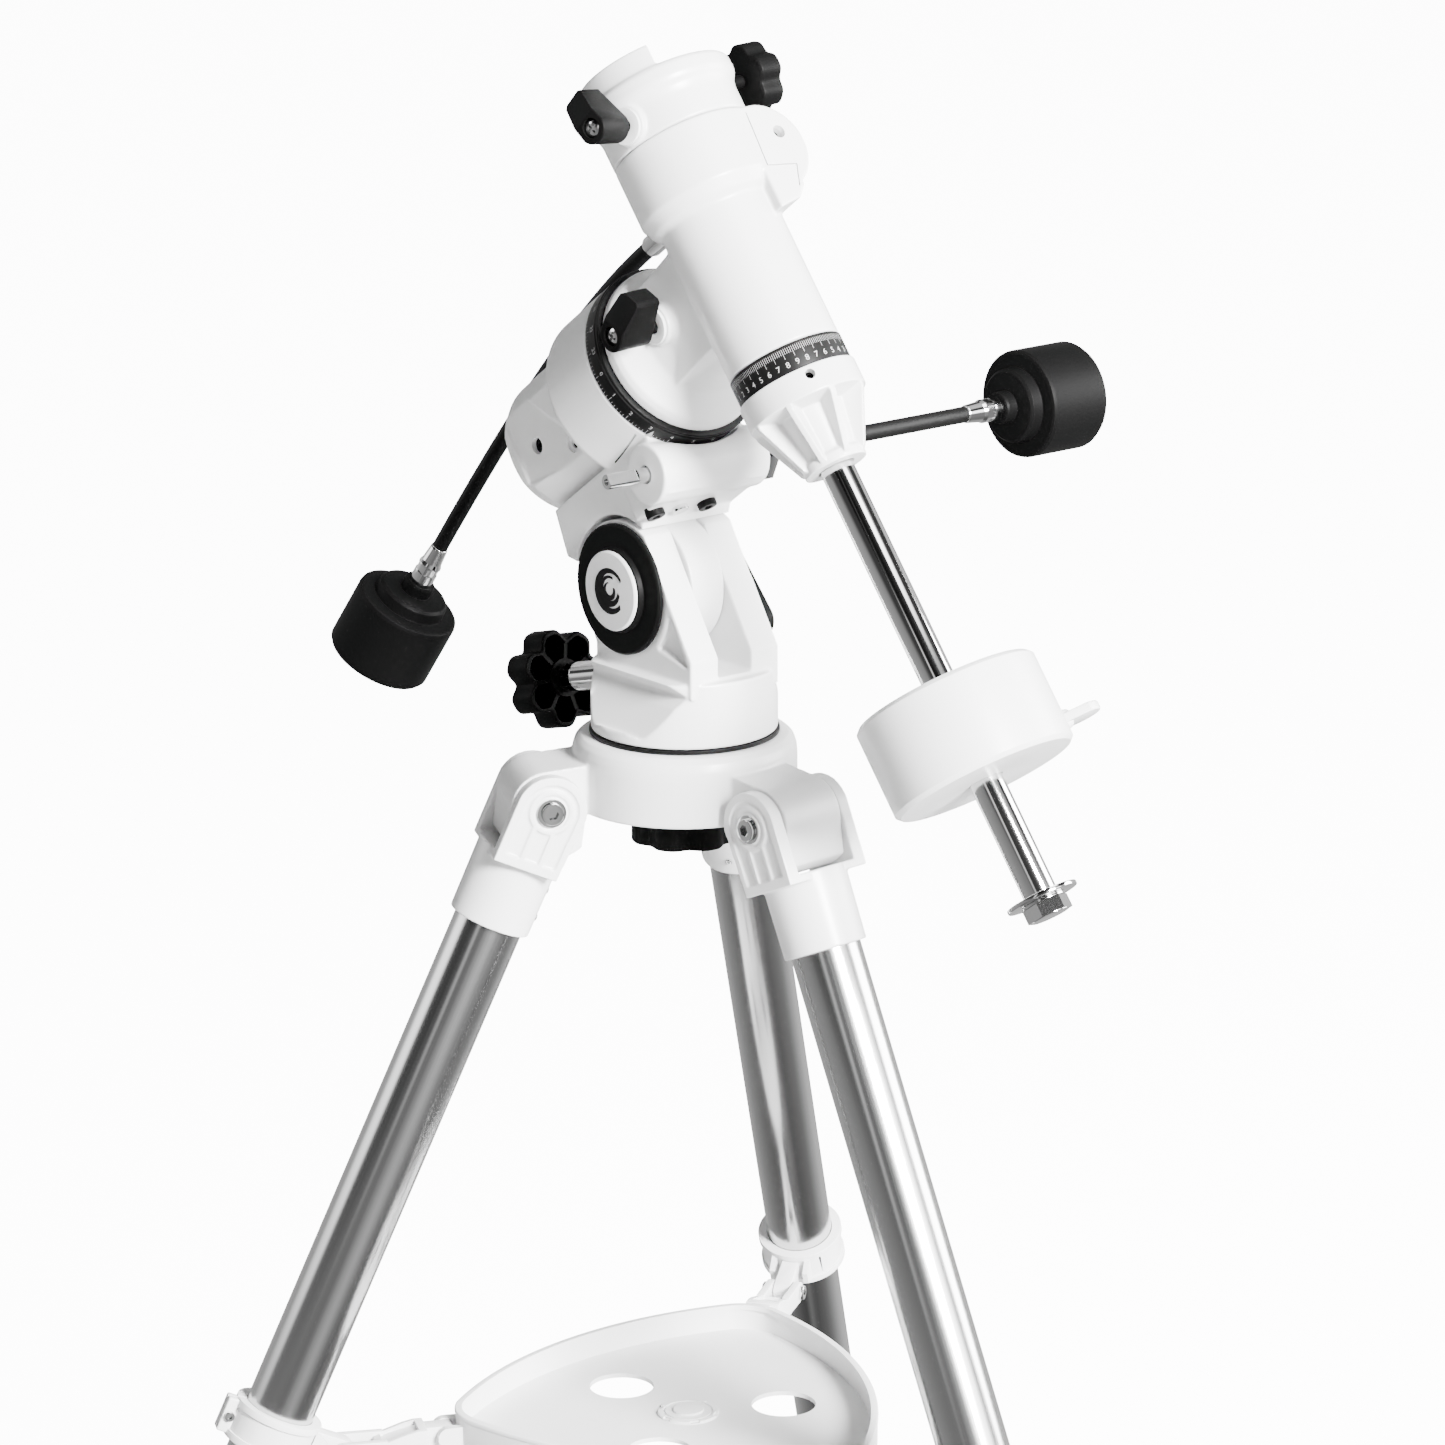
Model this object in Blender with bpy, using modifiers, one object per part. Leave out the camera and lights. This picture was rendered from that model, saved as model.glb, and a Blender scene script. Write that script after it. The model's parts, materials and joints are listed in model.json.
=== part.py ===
"""Equatorial telescope mount on a three-legged tripod with an accessory tray.

Frame: metres, +Z up.  The origin is on the floor, under the middle of the
object's bounding box.  +Y is the horizontal direction of the north leg.
"""
import bpy
import bmesh
from math import acos, atan2, cos, pi, radians, sin, sqrt, tan
from mathutils import Matrix, Vector

# ---------------------------------------------------------------- driving sizes
HEAD_HEIGHT = 0.740            # top of the tripod head above the floor
LATITUDE = radians(35.6)       # tilt of the polar axis above the horizon
HOUR_ANGLE = radians(3.5)      # declination head turned about the polar axis
MERIDIAN_TWIST = radians(-4.2)  # mount head turned about the vertical axis
LEG_SPREAD = radians(24.0)     # leg tubes against the vertical

LEG_TUBE_RADIUS = 0.0190
LEG_TUBE_WALL = 0.0010
LOWER_TUBE_RADIUS = 0.0159
LEG_LENGTH = (HEAD_HEIGHT - 0.033) / cos(LEG_SPREAD)
HEAD_RADIUS = 0.0607
HEAD_DEPTH = 0.038
LEG_PIVOT = (0.079, -0.033)    # radius and height, from the top of the head
EAR_INNER = 0.0203
EAR_OUTER = 0.0280
COLLAR_RADIUS = 0.0224
FOOT_RADIUS = 0.0200

BASE_RADIUS = 0.0503
BASE_TOP = 0.038
HINGE = (-0.015, 0.080)        # latitude hinge: north and up, in the mount head
EAR_RADIUS = 0.037
FORK_HALF = 0.030
SLOT_HALF = 0.01125

RA_ORIGIN = (-0.0586, 0.1668)  # point on the polar axis: north and up
RA_RADIUS = 0.050
DEC_STATION = 0.1418           # declination axis, along the polar axis
DEC_RADIUS = 0.031
FLANGE_RADIUS = 0.038
RA_WORM = (0.0475, 0.057)      # station and offset of the polar worm
DEC_WORM = (-0.0325, -0.0675)  # offset and station of the declination worm
SADDLE_SEAT = -0.1190          # the dovetail bar's seat, along the declination axis
CLUTCH_STATION = -0.0975       # declination clutch lever, along the same axis
CLUTCH_LEAN = radians(15.5)    # and turned from the fixed jaw's side
KNOB_RADIUS = 0.030
CABLE_RADIUS = 0.0045
KNOB_OVERHANG = 0.0490         # how far the hanging cable knob reaches past the rear feet
SHAFT_RADIUS = 0.009
SHAFT_END = 0.350
WEIGHT_RADIUS = 0.050
WEIGHT_SPAN = (0.234, 0.285)

TRAY_FLOOR = -0.3955           # underside of the tray, from the top of the head
TRAY_HEIGHT = 0.0175
TRAY_CORNER = 0.131
TRAY_SIDE = 0.101
TRAY_CORNER_RADIUS = 0.028
TRAY_PIVOT = (0.137, -0.392)   # radius and height of the arm's inner pin
CLAMP_STATION = 0.3788         # clamp ring along the leg, from the leg's pivot
CLAMP_REACH = 0.0417           # clamp hinge, inwards from the leg's axis

GAP = 0.0003                   # clearance left between neighbouring pieces
LARGE = 32                     # facets of a large round piece
ROUND = 24                     # facets of a middling round piece
SMALL = 12                     # facets of a small round piece

# --------------------------------------------------------------------- scene
for old in list(bpy.data.objects):
    bpy.data.objects.remove(old, do_unlink=True)

model = bpy.data.collections.new("equatorial_mount")
tools = bpy.data.collections.new("cutters")
bpy.context.scene.collection.children.link(model)
bpy.context.scene.collection.children.link(tools)


def make_material(name, colour, roughness, metallic):
    material = bpy.data.materials.new(name)
    material.use_nodes = True
    shader = material.node_tree.nodes["Principled BSDF"]
    shader.inputs["Base Color"].default_value = (*colour, 1.0)
    shader.inputs["Roughness"].default_value = roughness
    shader.inputs["Metallic"].default_value = metallic
    return material


WHITE = make_material("white_powder_coat", (0.86, 0.86, 0.86), 0.38, 0.0)
BLACK = make_material("black_plastic", (0.015, 0.015, 0.015), 0.35, 0.0)
DIAL = make_material("black_dial", (0.02, 0.02, 0.02), 0.45, 0.0)
CHROME = make_material("chrome_steel", (0.78, 0.78, 0.78), 0.10, 1.0)
STEEL = make_material("brushed_steel", (0.55, 0.55, 0.55), 0.28, 1.0)
BRASS = make_material("worm_brass", (0.70, 0.52, 0.25), 0.35, 1.0)
RUBBER = make_material("black_rubber", (0.02, 0.02, 0.02), 0.80, 0.0)


# -------------------------------------------------------------------- frames
def frame(origin, z_axis, x_hint):
    """Matrix whose Z runs along z_axis and whose X is nearest to x_hint."""
    z = Vector(z_axis).normalized()
    y = z.cross(Vector(x_hint)).normalized()
    x = y.cross(z)
    matrix = Matrix((x, y, z)).transposed().to_4x4()
    matrix.translation = Vector(origin)
    return matrix


def shift(x=0.0, y=0.0, z=0.0):
    return Matrix.Translation((x, y, z))


def along(axis, origin=(0.0, 0.0, 0.0)):
    """Local frame whose Z runs along the named axis of the parent frame."""
    hints = {"X": ((1, 0, 0), (0, 1, 0)), "-X": ((-1, 0, 0), (0, 1, 0)),
             "Y": ((0, 1, 0), (0, 0, 1)), "-Y": ((0, -1, 0), (0, 0, 1)),
             "Z": ((0, 0, 1), (1, 0, 0)), "-Z": ((0, 0, -1), (1, 0, 0))}
    z_axis, x_hint = hints[axis]
    return frame(origin, z_axis, x_hint)


world_of = {}


def axis_empty(name, world, parent=None):
    empty = bpy.data.objects.new(name, None)
    empty.empty_display_size = 0.02
    model.objects.link(empty)
    world_of[empty] = world
    empty.parent = parent
    base = world_of[parent] if parent else Matrix.Identity(4)
    empty.matrix_basis = base.inverted() @ world
    return empty


# ----------------------------------------------------------- building blocks
def link(name, mesh, axis, local, material=None):
    """Object under the axis empty, at the local frame; no material: a tool."""
    obj = bpy.data.objects.new(name, mesh)
    (model if material else tools).objects.link(obj)
    obj.parent = axis
    obj.matrix_basis = local
    if material:
        mesh.materials.append(material)
    else:
        obj.hide_render = True
        obj.display_type = "WIRE"
    return obj


def smooth(mesh):
    mesh.shade_smooth()
    mesh.set_sharp_from_angle(angle=radians(35.0))


def lathe(name, axis, local, profile, material=None, steps=ROUND, closed=False):
    """Turned piece: profile of (radius, height), down its outer side."""
    mesh = bpy.data.meshes.new(name)
    count = len(profile)
    edges = [(i, i + 1) for i in range(count - 1)]
    if closed:
        edges.append((count - 1, 0))
    mesh.from_pydata([(r, 0.0, h) for r, h in profile], edges, [])
    obj = link(name, mesh, axis, local, material)
    screw = obj.modifiers.new("turn", "SCREW")
    screw.axis = "Z"
    screw.steps = steps
    screw.render_steps = steps
    screw.use_merge_vertices = True
    screw.merge_threshold = 0.00001
    screw.use_smooth_shade = True
    return obj


def rod(name, axis, local, radius, low, high, material=None, steps=ROUND):
    """Solid cylinder along local Z, from low to high."""
    bm = bmesh.new()
    bmesh.ops.create_cone(bm, cap_ends=True, segments=steps, radius1=radius,
                          radius2=radius, depth=high - low,
                          matrix=shift(z=(low + high) / 2))
    mesh = bpy.data.meshes.new(name)
    bm.to_mesh(mesh)
    bm.free()
    smooth(mesh)
    return link(name, mesh, axis, local, material)


def block(name, axis, local, low, high, material=None, bevel=0.0):
    """Box between two corners, with an optional bevelled edge."""
    low = Vector(low)
    high = Vector(high)
    size = high - low
    bm = bmesh.new()
    bmesh.ops.create_cube(bm, size=1.0)
    bmesh.ops.transform(bm, matrix=Matrix.Diagonal((*size, 1.0)), verts=bm.verts)
    bmesh.ops.translate(bm, vec=(low + high) / 2, verts=bm.verts)
    mesh = bpy.data.meshes.new(name)
    bm.to_mesh(mesh)
    bm.free()
    obj = link(name, mesh, axis, local, material)
    if bevel:
        soften(obj, bevel)
    return obj


def soften(obj, width, segments=1):
    bevel = obj.modifiers.new("edges", "BEVEL")
    bevel.width = width
    bevel.segments = segments
    bevel.limit_method = "ANGLE"
    bevel.angle_limit = radians(40.0)
    return obj


def ring(name, axis, local, outer, inner, low, high, material=None, steps=ROUND):
    profile = [(outer, high), (outer, low), (inner, low), (inner, high)]
    return lathe(name, axis, local, profile, material, steps, closed=True)


def arc(centre, radius, start, end, steps):
    """Points on a circle, both ends included; angles in radians."""
    return [(centre[0] + radius * cos(start + (end - start) * i / steps),
             centre[1] + radius * sin(start + (end - start) * i / steps))
            for i in range(steps + 1)]


def plate(name, axis, local, outline, low, high, material=None, bevel=0.0):
    """Flat outline in local XY, extruded from low to high along Z."""
    curve = bpy.data.curves.new(name, "CURVE")
    curve.dimensions = "2D"
    curve.fill_mode = "BOTH"
    curve.extrude = (high - low) / 2
    spline = curve.splines.new("POLY")
    spline.points.add(len(outline) - 1)
    for point, (x, y) in zip(spline.points, outline):
        point.co = (x, y, 0.0, 1.0)
    spline.use_cyclic_u = True
    obj = link(name, curve_to_mesh(curve), axis,
               local @ shift(z=(low + high) / 2), material)
    if bevel:
        soften(obj, bevel)
    return obj


def wire(name, axis, local, points, radius, material=None):
    """Round bar or cable through the points."""
    curve = bpy.data.curves.new(name, "CURVE")
    curve.dimensions = "3D"
    curve.bevel_depth = radius
    curve.bevel_resolution = 2
    curve.use_fill_caps = True
    spline = curve.splines.new("POLY")
    spline.points.add(len(points) - 1)
    for point, place in zip(spline.points, points):
        point.co = (*place, 1.0)
    return link(name, curve_to_mesh(curve), axis, local, material)


def curve_to_mesh(curve):
    carrier = bpy.data.objects.new(curve.name, curve)
    bpy.context.scene.collection.objects.link(carrier)
    graph = bpy.context.evaluated_depsgraph_get()
    mesh = bpy.data.meshes.new_from_object(carrier.evaluated_get(graph))
    bpy.data.objects.remove(carrier, do_unlink=True)
    bm = bmesh.new()
    bm.from_mesh(mesh)
    bmesh.ops.remove_doubles(bm, verts=bm.verts, dist=0.000005)
    bmesh.ops.recalc_face_normals(bm, faces=bm.faces)
    bm.to_mesh(mesh)
    bm.free()
    return mesh


def combine(obj, operation, others):
    for other in others:
        boolean = obj.modifiers.new(operation.lower(), "BOOLEAN")
        boolean.operation = operation
        boolean.object = other
    return obj


def join(obj, *others):
    return combine(obj, "UNION", others)


def cut(obj, *others):
    return combine(obj, "DIFFERENCE", others)


def star_outline(radius, lobes, depth, per_lobe=8):
    """Wavy hand-knob outline: rounded lobes with hollows between them."""
    points = []
    for i in range(lobes * per_lobe):
        turn = 2 * pi * i / (lobes * per_lobe)
        wave = (1 - cos(lobes * turn)) / 2
        reach = radius - depth * (1 - wave) ** 2
        points.append((reach * cos(turn), reach * sin(turn)))
    return points


# --------------------------------------------------------------- axis empties
FOOT_REACH = LEG_PIVOT[0] + (HEAD_HEIGHT + LEG_PIVOT[1]) * tan(LEG_SPREAD)
FOOT_LONG = FOOT_RADIUS / cos(LEG_SPREAD)
FOOT_SLANT = sqrt((FOOT_LONG * 0.5) ** 2 + (FOOT_RADIUS * cos(radians(30))) ** 2)
AXIS_Y = -(FOOT_REACH / 4 + (FOOT_LONG - FOOT_SLANT) / 2) + KNOB_OVERHANG / 2

TRIPOD = axis_empty("tripod_axis", shift(0.0, AXIS_Y, HEAD_HEIGHT))
HEAD = axis_empty("azimuth_axis",
                  world_of[TRIPOD] @ Matrix.Rotation(MERIDIAN_TWIST, 4, "Z"), TRIPOD)
HINGE_AXIS = axis_empty("latitude_axis", world_of[HEAD] @ shift(0.0, *HINGE), HEAD)
RA = axis_empty("polar_axis", world_of[HEAD] @ frame(
    (0.0, *RA_ORIGIN), (0.0, cos(LATITUDE), sin(LATITUDE)), (1, 0, 0)), HINGE_AXIS)
TURNED = axis_empty("polar_turn", world_of[RA] @ Matrix.Rotation(HOUR_ANGLE, 4, "Z"), RA)
DEC = axis_empty("declination_axis", world_of[TURNED] @ frame(
    (0.0, 0.0, DEC_STATION), (0, 1, 0), (0, 0, 1)), TURNED)
HERE = Matrix.Identity(4)

# The hinge as seen from the polar axis: offset below it and station along it.
HINGE_OFFSET = world_of[RA].inverted() @ world_of[HINGE_AXIS].translation
HINGE_DOWN = HINGE_OFFSET.y
HINGE_STATION = HINGE_OFFSET.z

LEGS = {"north": radians(90), "west": radians(210), "east": radians(330)}


# -------------------------------------------------------------------- tripod
def radial(angle):
    return Vector((cos(angle), sin(angle), 0.0))


def radial_plane(angle):
    """Frame whose X is radial, Y is up and Z is tangent, on the tripod's axis."""
    out = radial(angle)
    return frame((0, 0, 0), out.cross(Vector((0, 0, 1))), out)


def make_tripod_head():
    profile = [(0.0535, 0.0), (0.0578, -0.0017), (0.0601, -0.0058),
               (HEAD_RADIUS, -0.0105), (HEAD_RADIUS, -HEAD_DEPTH),
               (0.0066, -HEAD_DEPTH), (0.0066, 0.0)]
    head = lathe("tripod_head", TRIPOD, HERE, profile, WHITE, LARGE, closed=True)
    lug = [(0.048, -0.0360), (0.0585, -0.0375)]
    lug += arc(LEG_PIVOT, 0.0290, radians(-128), radians(-38), 6)
    lug += arc(LEG_PIVOT, 0.0205, 0.0, radians(80), 5)
    lug += [(0.048, -0.0095)]
    for angle in LEGS.values():
        plane = radial_plane(angle)
        join(head, plate("lug", TRIPOD, plane, lug, -0.020, 0.020))
    for angle in LEGS.values():
        hole = radial_plane(angle) @ shift(*LEG_PIVOT)
        cut(head, rod("lug_hole", TRIPOD, hole, 0.0043, -0.03, 0.03, steps=SMALL))
    ring("azimuth_washer", TRIPOD, HERE, 0.0510, 0.0300, GAP, 0.0023, DIAL, LARGE)


def make_leg(name, angle):
    out = radial(angle)
    slope = -out * sin(LEG_SPREAD) + Vector((0, 0, cos(LEG_SPREAD)))
    pivot = out * LEG_PIVOT[0] + Vector((0, 0, LEG_PIVOT[1]))
    leg = axis_empty("leg_axis_" + name,
                     world_of[TRIPOD] @ frame(pivot, slope, out), TRIPOD)
    make_bracket(leg, name)
    ring("leg_upper_tube_" + name, leg, HERE, LEG_TUBE_RADIUS,
         LEG_TUBE_RADIUS - LEG_TUBE_WALL, -0.565, -0.0403, STEEL, ROUND)
    make_lock_collar(leg, name)
    ring("leg_lower_tube_" + name, leg, HERE, LOWER_TUBE_RADIUS,
         LOWER_TUBE_RADIUS - 0.0012, -(LEG_LENGTH - 0.030), -0.330, STEEL, ROUND)
    make_foot(leg, name)
    make_clamp(leg, name)


def make_bracket(leg, name):
    top = -0.030
    end = -0.072
    seat = -0.040
    bore = LEG_TUBE_RADIUS + GAP
    collar = [(0.0, top), (COLLAR_RADIUS + 0.0002, top), (COLLAR_RADIUS, end),
              (bore, end), (bore, seat), (0.0, seat)]
    bracket = lathe("leg_bracket_" + name, leg, HERE, collar, WHITE, ROUND)
    ear = arc((0.0, 0.0), 0.0195, radians(-80), radians(90), 8)
    ear += [(-0.0345, 0.0195), (-0.0345, -0.0175)]
    for side in (-1, 1):
        low, high = sorted((side * EAR_INNER, side * EAR_OUTER))
        join(bracket, plate("ear", leg, along("Y"), ear, low, high))
    join(bracket, block("shoulder", leg, HERE, (-0.0175, -EAR_OUTER, -0.0345),
                        (0.0195, EAR_OUTER, top)))
    cut(bracket, rod("ear_hole", leg, along("Y"), 0.0043, -0.03, 0.03, steps=SMALL))
    head = 0.0062
    reach = EAR_OUTER + GAP
    bolt = [(0.0, reach + 0.0032), (head, reach + 0.0032), (head, reach),
            (0.004, reach), (0.004, -reach), (head, -reach),
            (head, -reach - 0.0032), (0.0, -reach - 0.0032)]
    lathe("leg_pivot_bolt_" + name, leg, along("Y"), bolt, CHROME, SMALL)


def make_lock_collar(leg, name):
    tube = LEG_TUBE_RADIUS + GAP
    bush = LOWER_TUBE_RADIUS + GAP
    profile = [(0.0228, -0.540), (0.0240, -0.544), (0.0240, -0.590), (0.0225, -0.594),
               (bush, -0.594), (bush, -0.5653), (tube, -0.5653), (tube, -0.540)]
    collar = lathe("leg_lock_collar_" + name, leg, HERE, profile, BLACK, ROUND, closed=True)
    screw = along("X", (0.0, 0.0, -0.580))
    join(collar, rod("lock_boss", leg, screw, 0.0080, 0.020, 0.0340, steps=SMALL))
    cut(collar, rod("lock_hole", leg, screw, 0.0034, 0.010, 0.040, steps=SMALL))
    outline = star_outline(0.0130, 6, 0.0028, 4)
    knob = plate("leg_lock_knob_" + name, leg, screw, outline, 0.0345, 0.0460, BLACK)
    join(knob, rod("lock_stem", leg, screw, 0.0030, 0.0168, 0.0380, steps=SMALL))


def make_foot(leg, name):
    seat = -(LEG_LENGTH - 0.0297)
    bore = LOWER_TUBE_RADIUS + GAP
    profile = [(0.0, seat), (bore, seat), (bore, seat + 0.032), (0.0185, seat + 0.032),
               (FOOT_RADIUS, seat + 0.027), (FOOT_RADIUS, -LEG_LENGTH - 0.015),
               (0.0, -LEG_LENGTH - 0.015)]
    foot = lathe("leg_foot_" + name, leg, HERE, profile, RUBBER, ROUND)
    floor = world_of[leg].inverted()
    cut(foot, block("ground", leg, floor, (-0.6, -0.6, -0.1), (0.6, 0.6, 0.0)))


def make_clamp(leg, name):
    half = 0.011
    clamp = ring("spreader_clamp_" + name, leg, shift(z=-CLAMP_STATION), 0.0245,
                 LEG_TUBE_RADIUS + GAP, -half, half, WHITE, ROUND)
    lug = arc((0.0, -CLAMP_REACH), 0.0065, radians(180), radians(360), 6)
    lug += [(0.0065, -0.0215), (-0.0065, -0.0215)]
    join(clamp, plate("lug", leg, along("Y", (0, 0, -CLAMP_STATION)), lug,
                      -0.005, 0.005))


def clamp_hinge(spread):
    """Radius and height of the clamp's hinge when the legs stand at spread."""
    return (LEG_PIVOT[0] + CLAMP_STATION * sin(spread) - CLAMP_REACH * cos(spread),
            LEG_PIVOT[1] - CLAMP_STATION * cos(spread) - CLAMP_REACH * sin(spread))


def make_arm(name, angle):
    """Spreader arm: a tongue at the tray and two prongs at the leg's clamp."""
    out = radial(angle)
    pin = out * TRAY_PIVOT[0] + Vector((0, 0, TRAY_PIVOT[1]))
    arm = axis_empty("arm_axis_" + name, world_of[TRIPOD] @ shift(*pin)
                     @ radial_plane(angle), TRIPOD)
    reach, height = clamp_hinge(LEG_SPREAD)
    end = (reach - TRAY_PIVOT[0], height - TRAY_PIVOT[1])
    crotch = end[0] - 0.018
    body = [(0.0115, -0.0075), (crotch, -0.0105), (crotch, -0.0010),
            (0.0230, 0.0045), (0.0170, 0.0058), (0.0115, 0.0058)]
    piece = plate("spreader_arm_" + name, arm, HERE, body, -0.010, 0.010, WHITE)
    tongue = arc((0.0, 0.0), 0.0055, radians(90), radians(270), 6)
    tongue += [(0.015, -0.0055), (0.015, 0.0055)]
    join(piece, plate("tongue", arm, HERE, tongue, -0.0052, 0.0052))
    prong = arc(end, 0.0060, radians(-90), radians(90), 6)
    prong += [(crotch - 0.006, 0.0015), (crotch - 0.006, -0.0095)]
    for side in (-1, 1):
        low, high = sorted((side * 0.0056, side * 0.010))
        join(piece, plate("prong", arm, HERE, prong, low, high))
        low, high = sorted((side * 0.009, side * 0.0125))
        join(piece, rod("bolt_head", arm, shift(*end), 0.0042, low, high, steps=SMALL))
    cut(piece, rod("pin_hole", arm, HERE, 0.0028, -0.02, 0.02, steps=SMALL))


def tray_outline(inset):
    """Triangle with bulging sides and round corners, each corner at a leg."""
    corner = TRAY_CORNER_RADIUS - inset
    centre = TRAY_CORNER - TRAY_CORNER_RADIUS
    side = TRAY_SIDE - inset
    core = side - corner
    back = (centre ** 2 - core ** 2) / (2 * core - centre)
    points = []
    for angle in LEGS.values():
        middle = angle - radians(60)
        hub = -back * radial(middle)
        tip = centre * radial(angle) - hub
        swing = atan2(tip.y, tip.x)
        half = (swing - middle + pi) % (2 * pi) - pi
        points += arc((hub.x, hub.y), side + back, middle - half, middle + half, 9)
        turn = radians(60) - half
        points += arc((centre * cos(angle), centre * sin(angle)), corner,
                      angle - turn, angle + turn, 6)[1:-1]
    return points


def make_tray():
    floor = TRAY_FLOOR + 0.0025
    top = TRAY_FLOOR + TRAY_HEIGHT
    tray = plate("accessory_tray", TRIPOD, HERE, tray_outline(0.0), TRAY_FLOOR, top,
                 WHITE)
    cut(tray, plate("tray_inside", TRIPOD, HERE, tray_outline(0.0035), floor,
                    top + 0.01))
    join(tray, rod("tray_hub", TRIPOD, HERE, 0.0170, TRAY_FLOOR + 0.001,
                   floor + 0.003, steps=ROUND))
    for angle in LEGS.values():
        middle = 0.0547 * radial(angle - radians(60))
        cut(tray, rod("tray_hole", TRIPOD, shift(*middle), 0.0180, TRAY_FLOOR - 0.01,
                      floor + 0.01, steps=ROUND))
        pin = TRAY_PIVOT[0]
        plane = radial_plane(angle)
        lug = arc(TRAY_PIVOT, 0.0060, radians(-60), radians(90), 5)
        lug += [(pin - 0.009, TRAY_PIVOT[1] + 0.006), (pin - 0.009, TRAY_FLOOR + 0.0005)]
        for side in (-1, 1):
            low, high = sorted((side * 0.0055, side * 0.0100))
            join(tray, plate("tray_lug", TRIPOD, plane, lug, low, high))
        join(tray, rod("tray_pin", TRIPOD, plane @ shift(*TRAY_PIVOT), 0.0025,
                       -0.008, 0.008, steps=SMALL))


def make_azimuth_knob():
    low = -HEAD_DEPTH - 0.0225
    high = -HEAD_DEPTH - 0.0020
    outline = star_outline(0.0295, 7, 0.0035, 4)
    plate("azimuth_knob", TRIPOD, HERE, outline, low, high, BLACK, bevel=0.0012)
    rod("azimuth_bolt", TRIPOD, HERE, 0.0060, high + GAP, 0.0120, STEEL, SMALL)


# -------------------------------------------------------- azimuth base and fork
def meridian_plane():
    """Frame whose X is north, Y is up and Z points to the badge side."""
    return frame((0, 0, 0), (1, 0, 0), (0, 1, 0))


def fork_outline():
    """Side view of the fork: a round eye, a sloping front and a leaning back."""
    slope = radians(32.65)
    front = 0.033
    toe = 0.043
    bend = slope + acos(front / EAR_RADIUS)
    shin = HINGE[1] + (front - (toe - HINGE[0]) * cos(slope)) / sin(slope)
    outline = arc(HINGE, EAR_RADIUS, bend, radians(197), 14)
    outline += [(-0.038, 0.046), (-0.038, 0.030), (toe, 0.030), (toe, shin)]
    return outline


def make_azimuth_base():
    bore = 0.0063
    profile = [(0.0, BASE_TOP), (BASE_RADIUS - 0.001, BASE_TOP),
               (BASE_RADIUS, BASE_TOP - 0.001), (BASE_RADIUS, 0.0026), (bore, 0.0026),
               (bore, 0.0135), (0.0, 0.0135)]
    base = lathe("azimuth_base", HEAD, HERE, profile, WHITE, LARGE)
    join(base, plate("fork", HEAD, meridian_plane(), fork_outline(),
                     -FORK_HALF, FORK_HALF))
    cut(base, block("fork_slot", HEAD, HERE, (-SLOT_HALF, -0.07, 0.0395),
                    (SLOT_HALF, 0.07, 0.13)))
    cut(base, rod("hinge_hole", HEAD, along("X", (0.0, *HINGE)), 0.0083,
                  -0.04, 0.04, steps=ROUND))
    cut(base, rod("screw_hole", HEAD, latitude_screw_frame(), 0.0085,
                  -0.100, 0.06, steps=SMALL))
    for side in (-1, 1):
        scoop = frame((side * FORK_HALF, 0.0, 0.031), (side * 0.749, 0.0, 0.661),
                      (side * 0.661, 0.0, -0.749))
        cut(base, block("scoop", HEAD, scoop, (0.0, -0.07, 0.0), (0.05, 0.07, 0.03)))


def latitude_screw_frame():
    """The rear screw leans down by 15 degrees towards its knob."""
    lean = radians(15.0)
    return frame((0.0, -0.080, 0.0137), (0.0, -cos(lean), -sin(lean)), (1, 0, 0))


def make_latitude_parts():
    side = along("X", (0.0, *HINGE))
    reach = FORK_HALF + GAP
    rod("latitude_pin", HEAD, side, 0.0080, -reach - 0.003, reach - 2 * GAP, STEEL, ROUND)
    disc = [(0.0, 0.0385), (0.0216, 0.0385), (0.0216, 0.0368), (0.0225, 0.0365),
            (0.0232, 0.0333), (0.0345, 0.0333), (0.0354, 0.0325), (0.0354, reach),
            (0.0, reach)]
    lathe("hinge_cover_disc", HEAD, side, disc, BLACK, LARGE)

    screw = latitude_screw_frame()
    rod("latitude_screw", HEAD, screw, 0.0080, -0.085, 0.0237, CHROME, SMALL)
    outline = star_outline(0.0275, 7, 0.0058, 6)
    plate("latitude_knob", HEAD, screw, outline, 0.0240, 0.0430, BLACK, bevel=0.0015)

    hub = rod("latitude_lock_lever", HEAD, side, 0.0115, -reach - 0.0145,
              -reach - 0.0036, BLACK, SMALL)
    tip = (0.0255, -0.0240)
    lean = atan2(tip[1], tip[0])
    paddle = arc((0.0, 0.0), 0.0118, lean + radians(94), lean + radians(266), 6)
    paddle += arc(tip, 0.0092, lean - radians(86), lean + radians(86), 5)
    join(hub, plate("paddle", HEAD, shift(0.0, *HINGE) @ meridian_plane(), paddle,
                    -0.0470, -0.0380))


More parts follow.
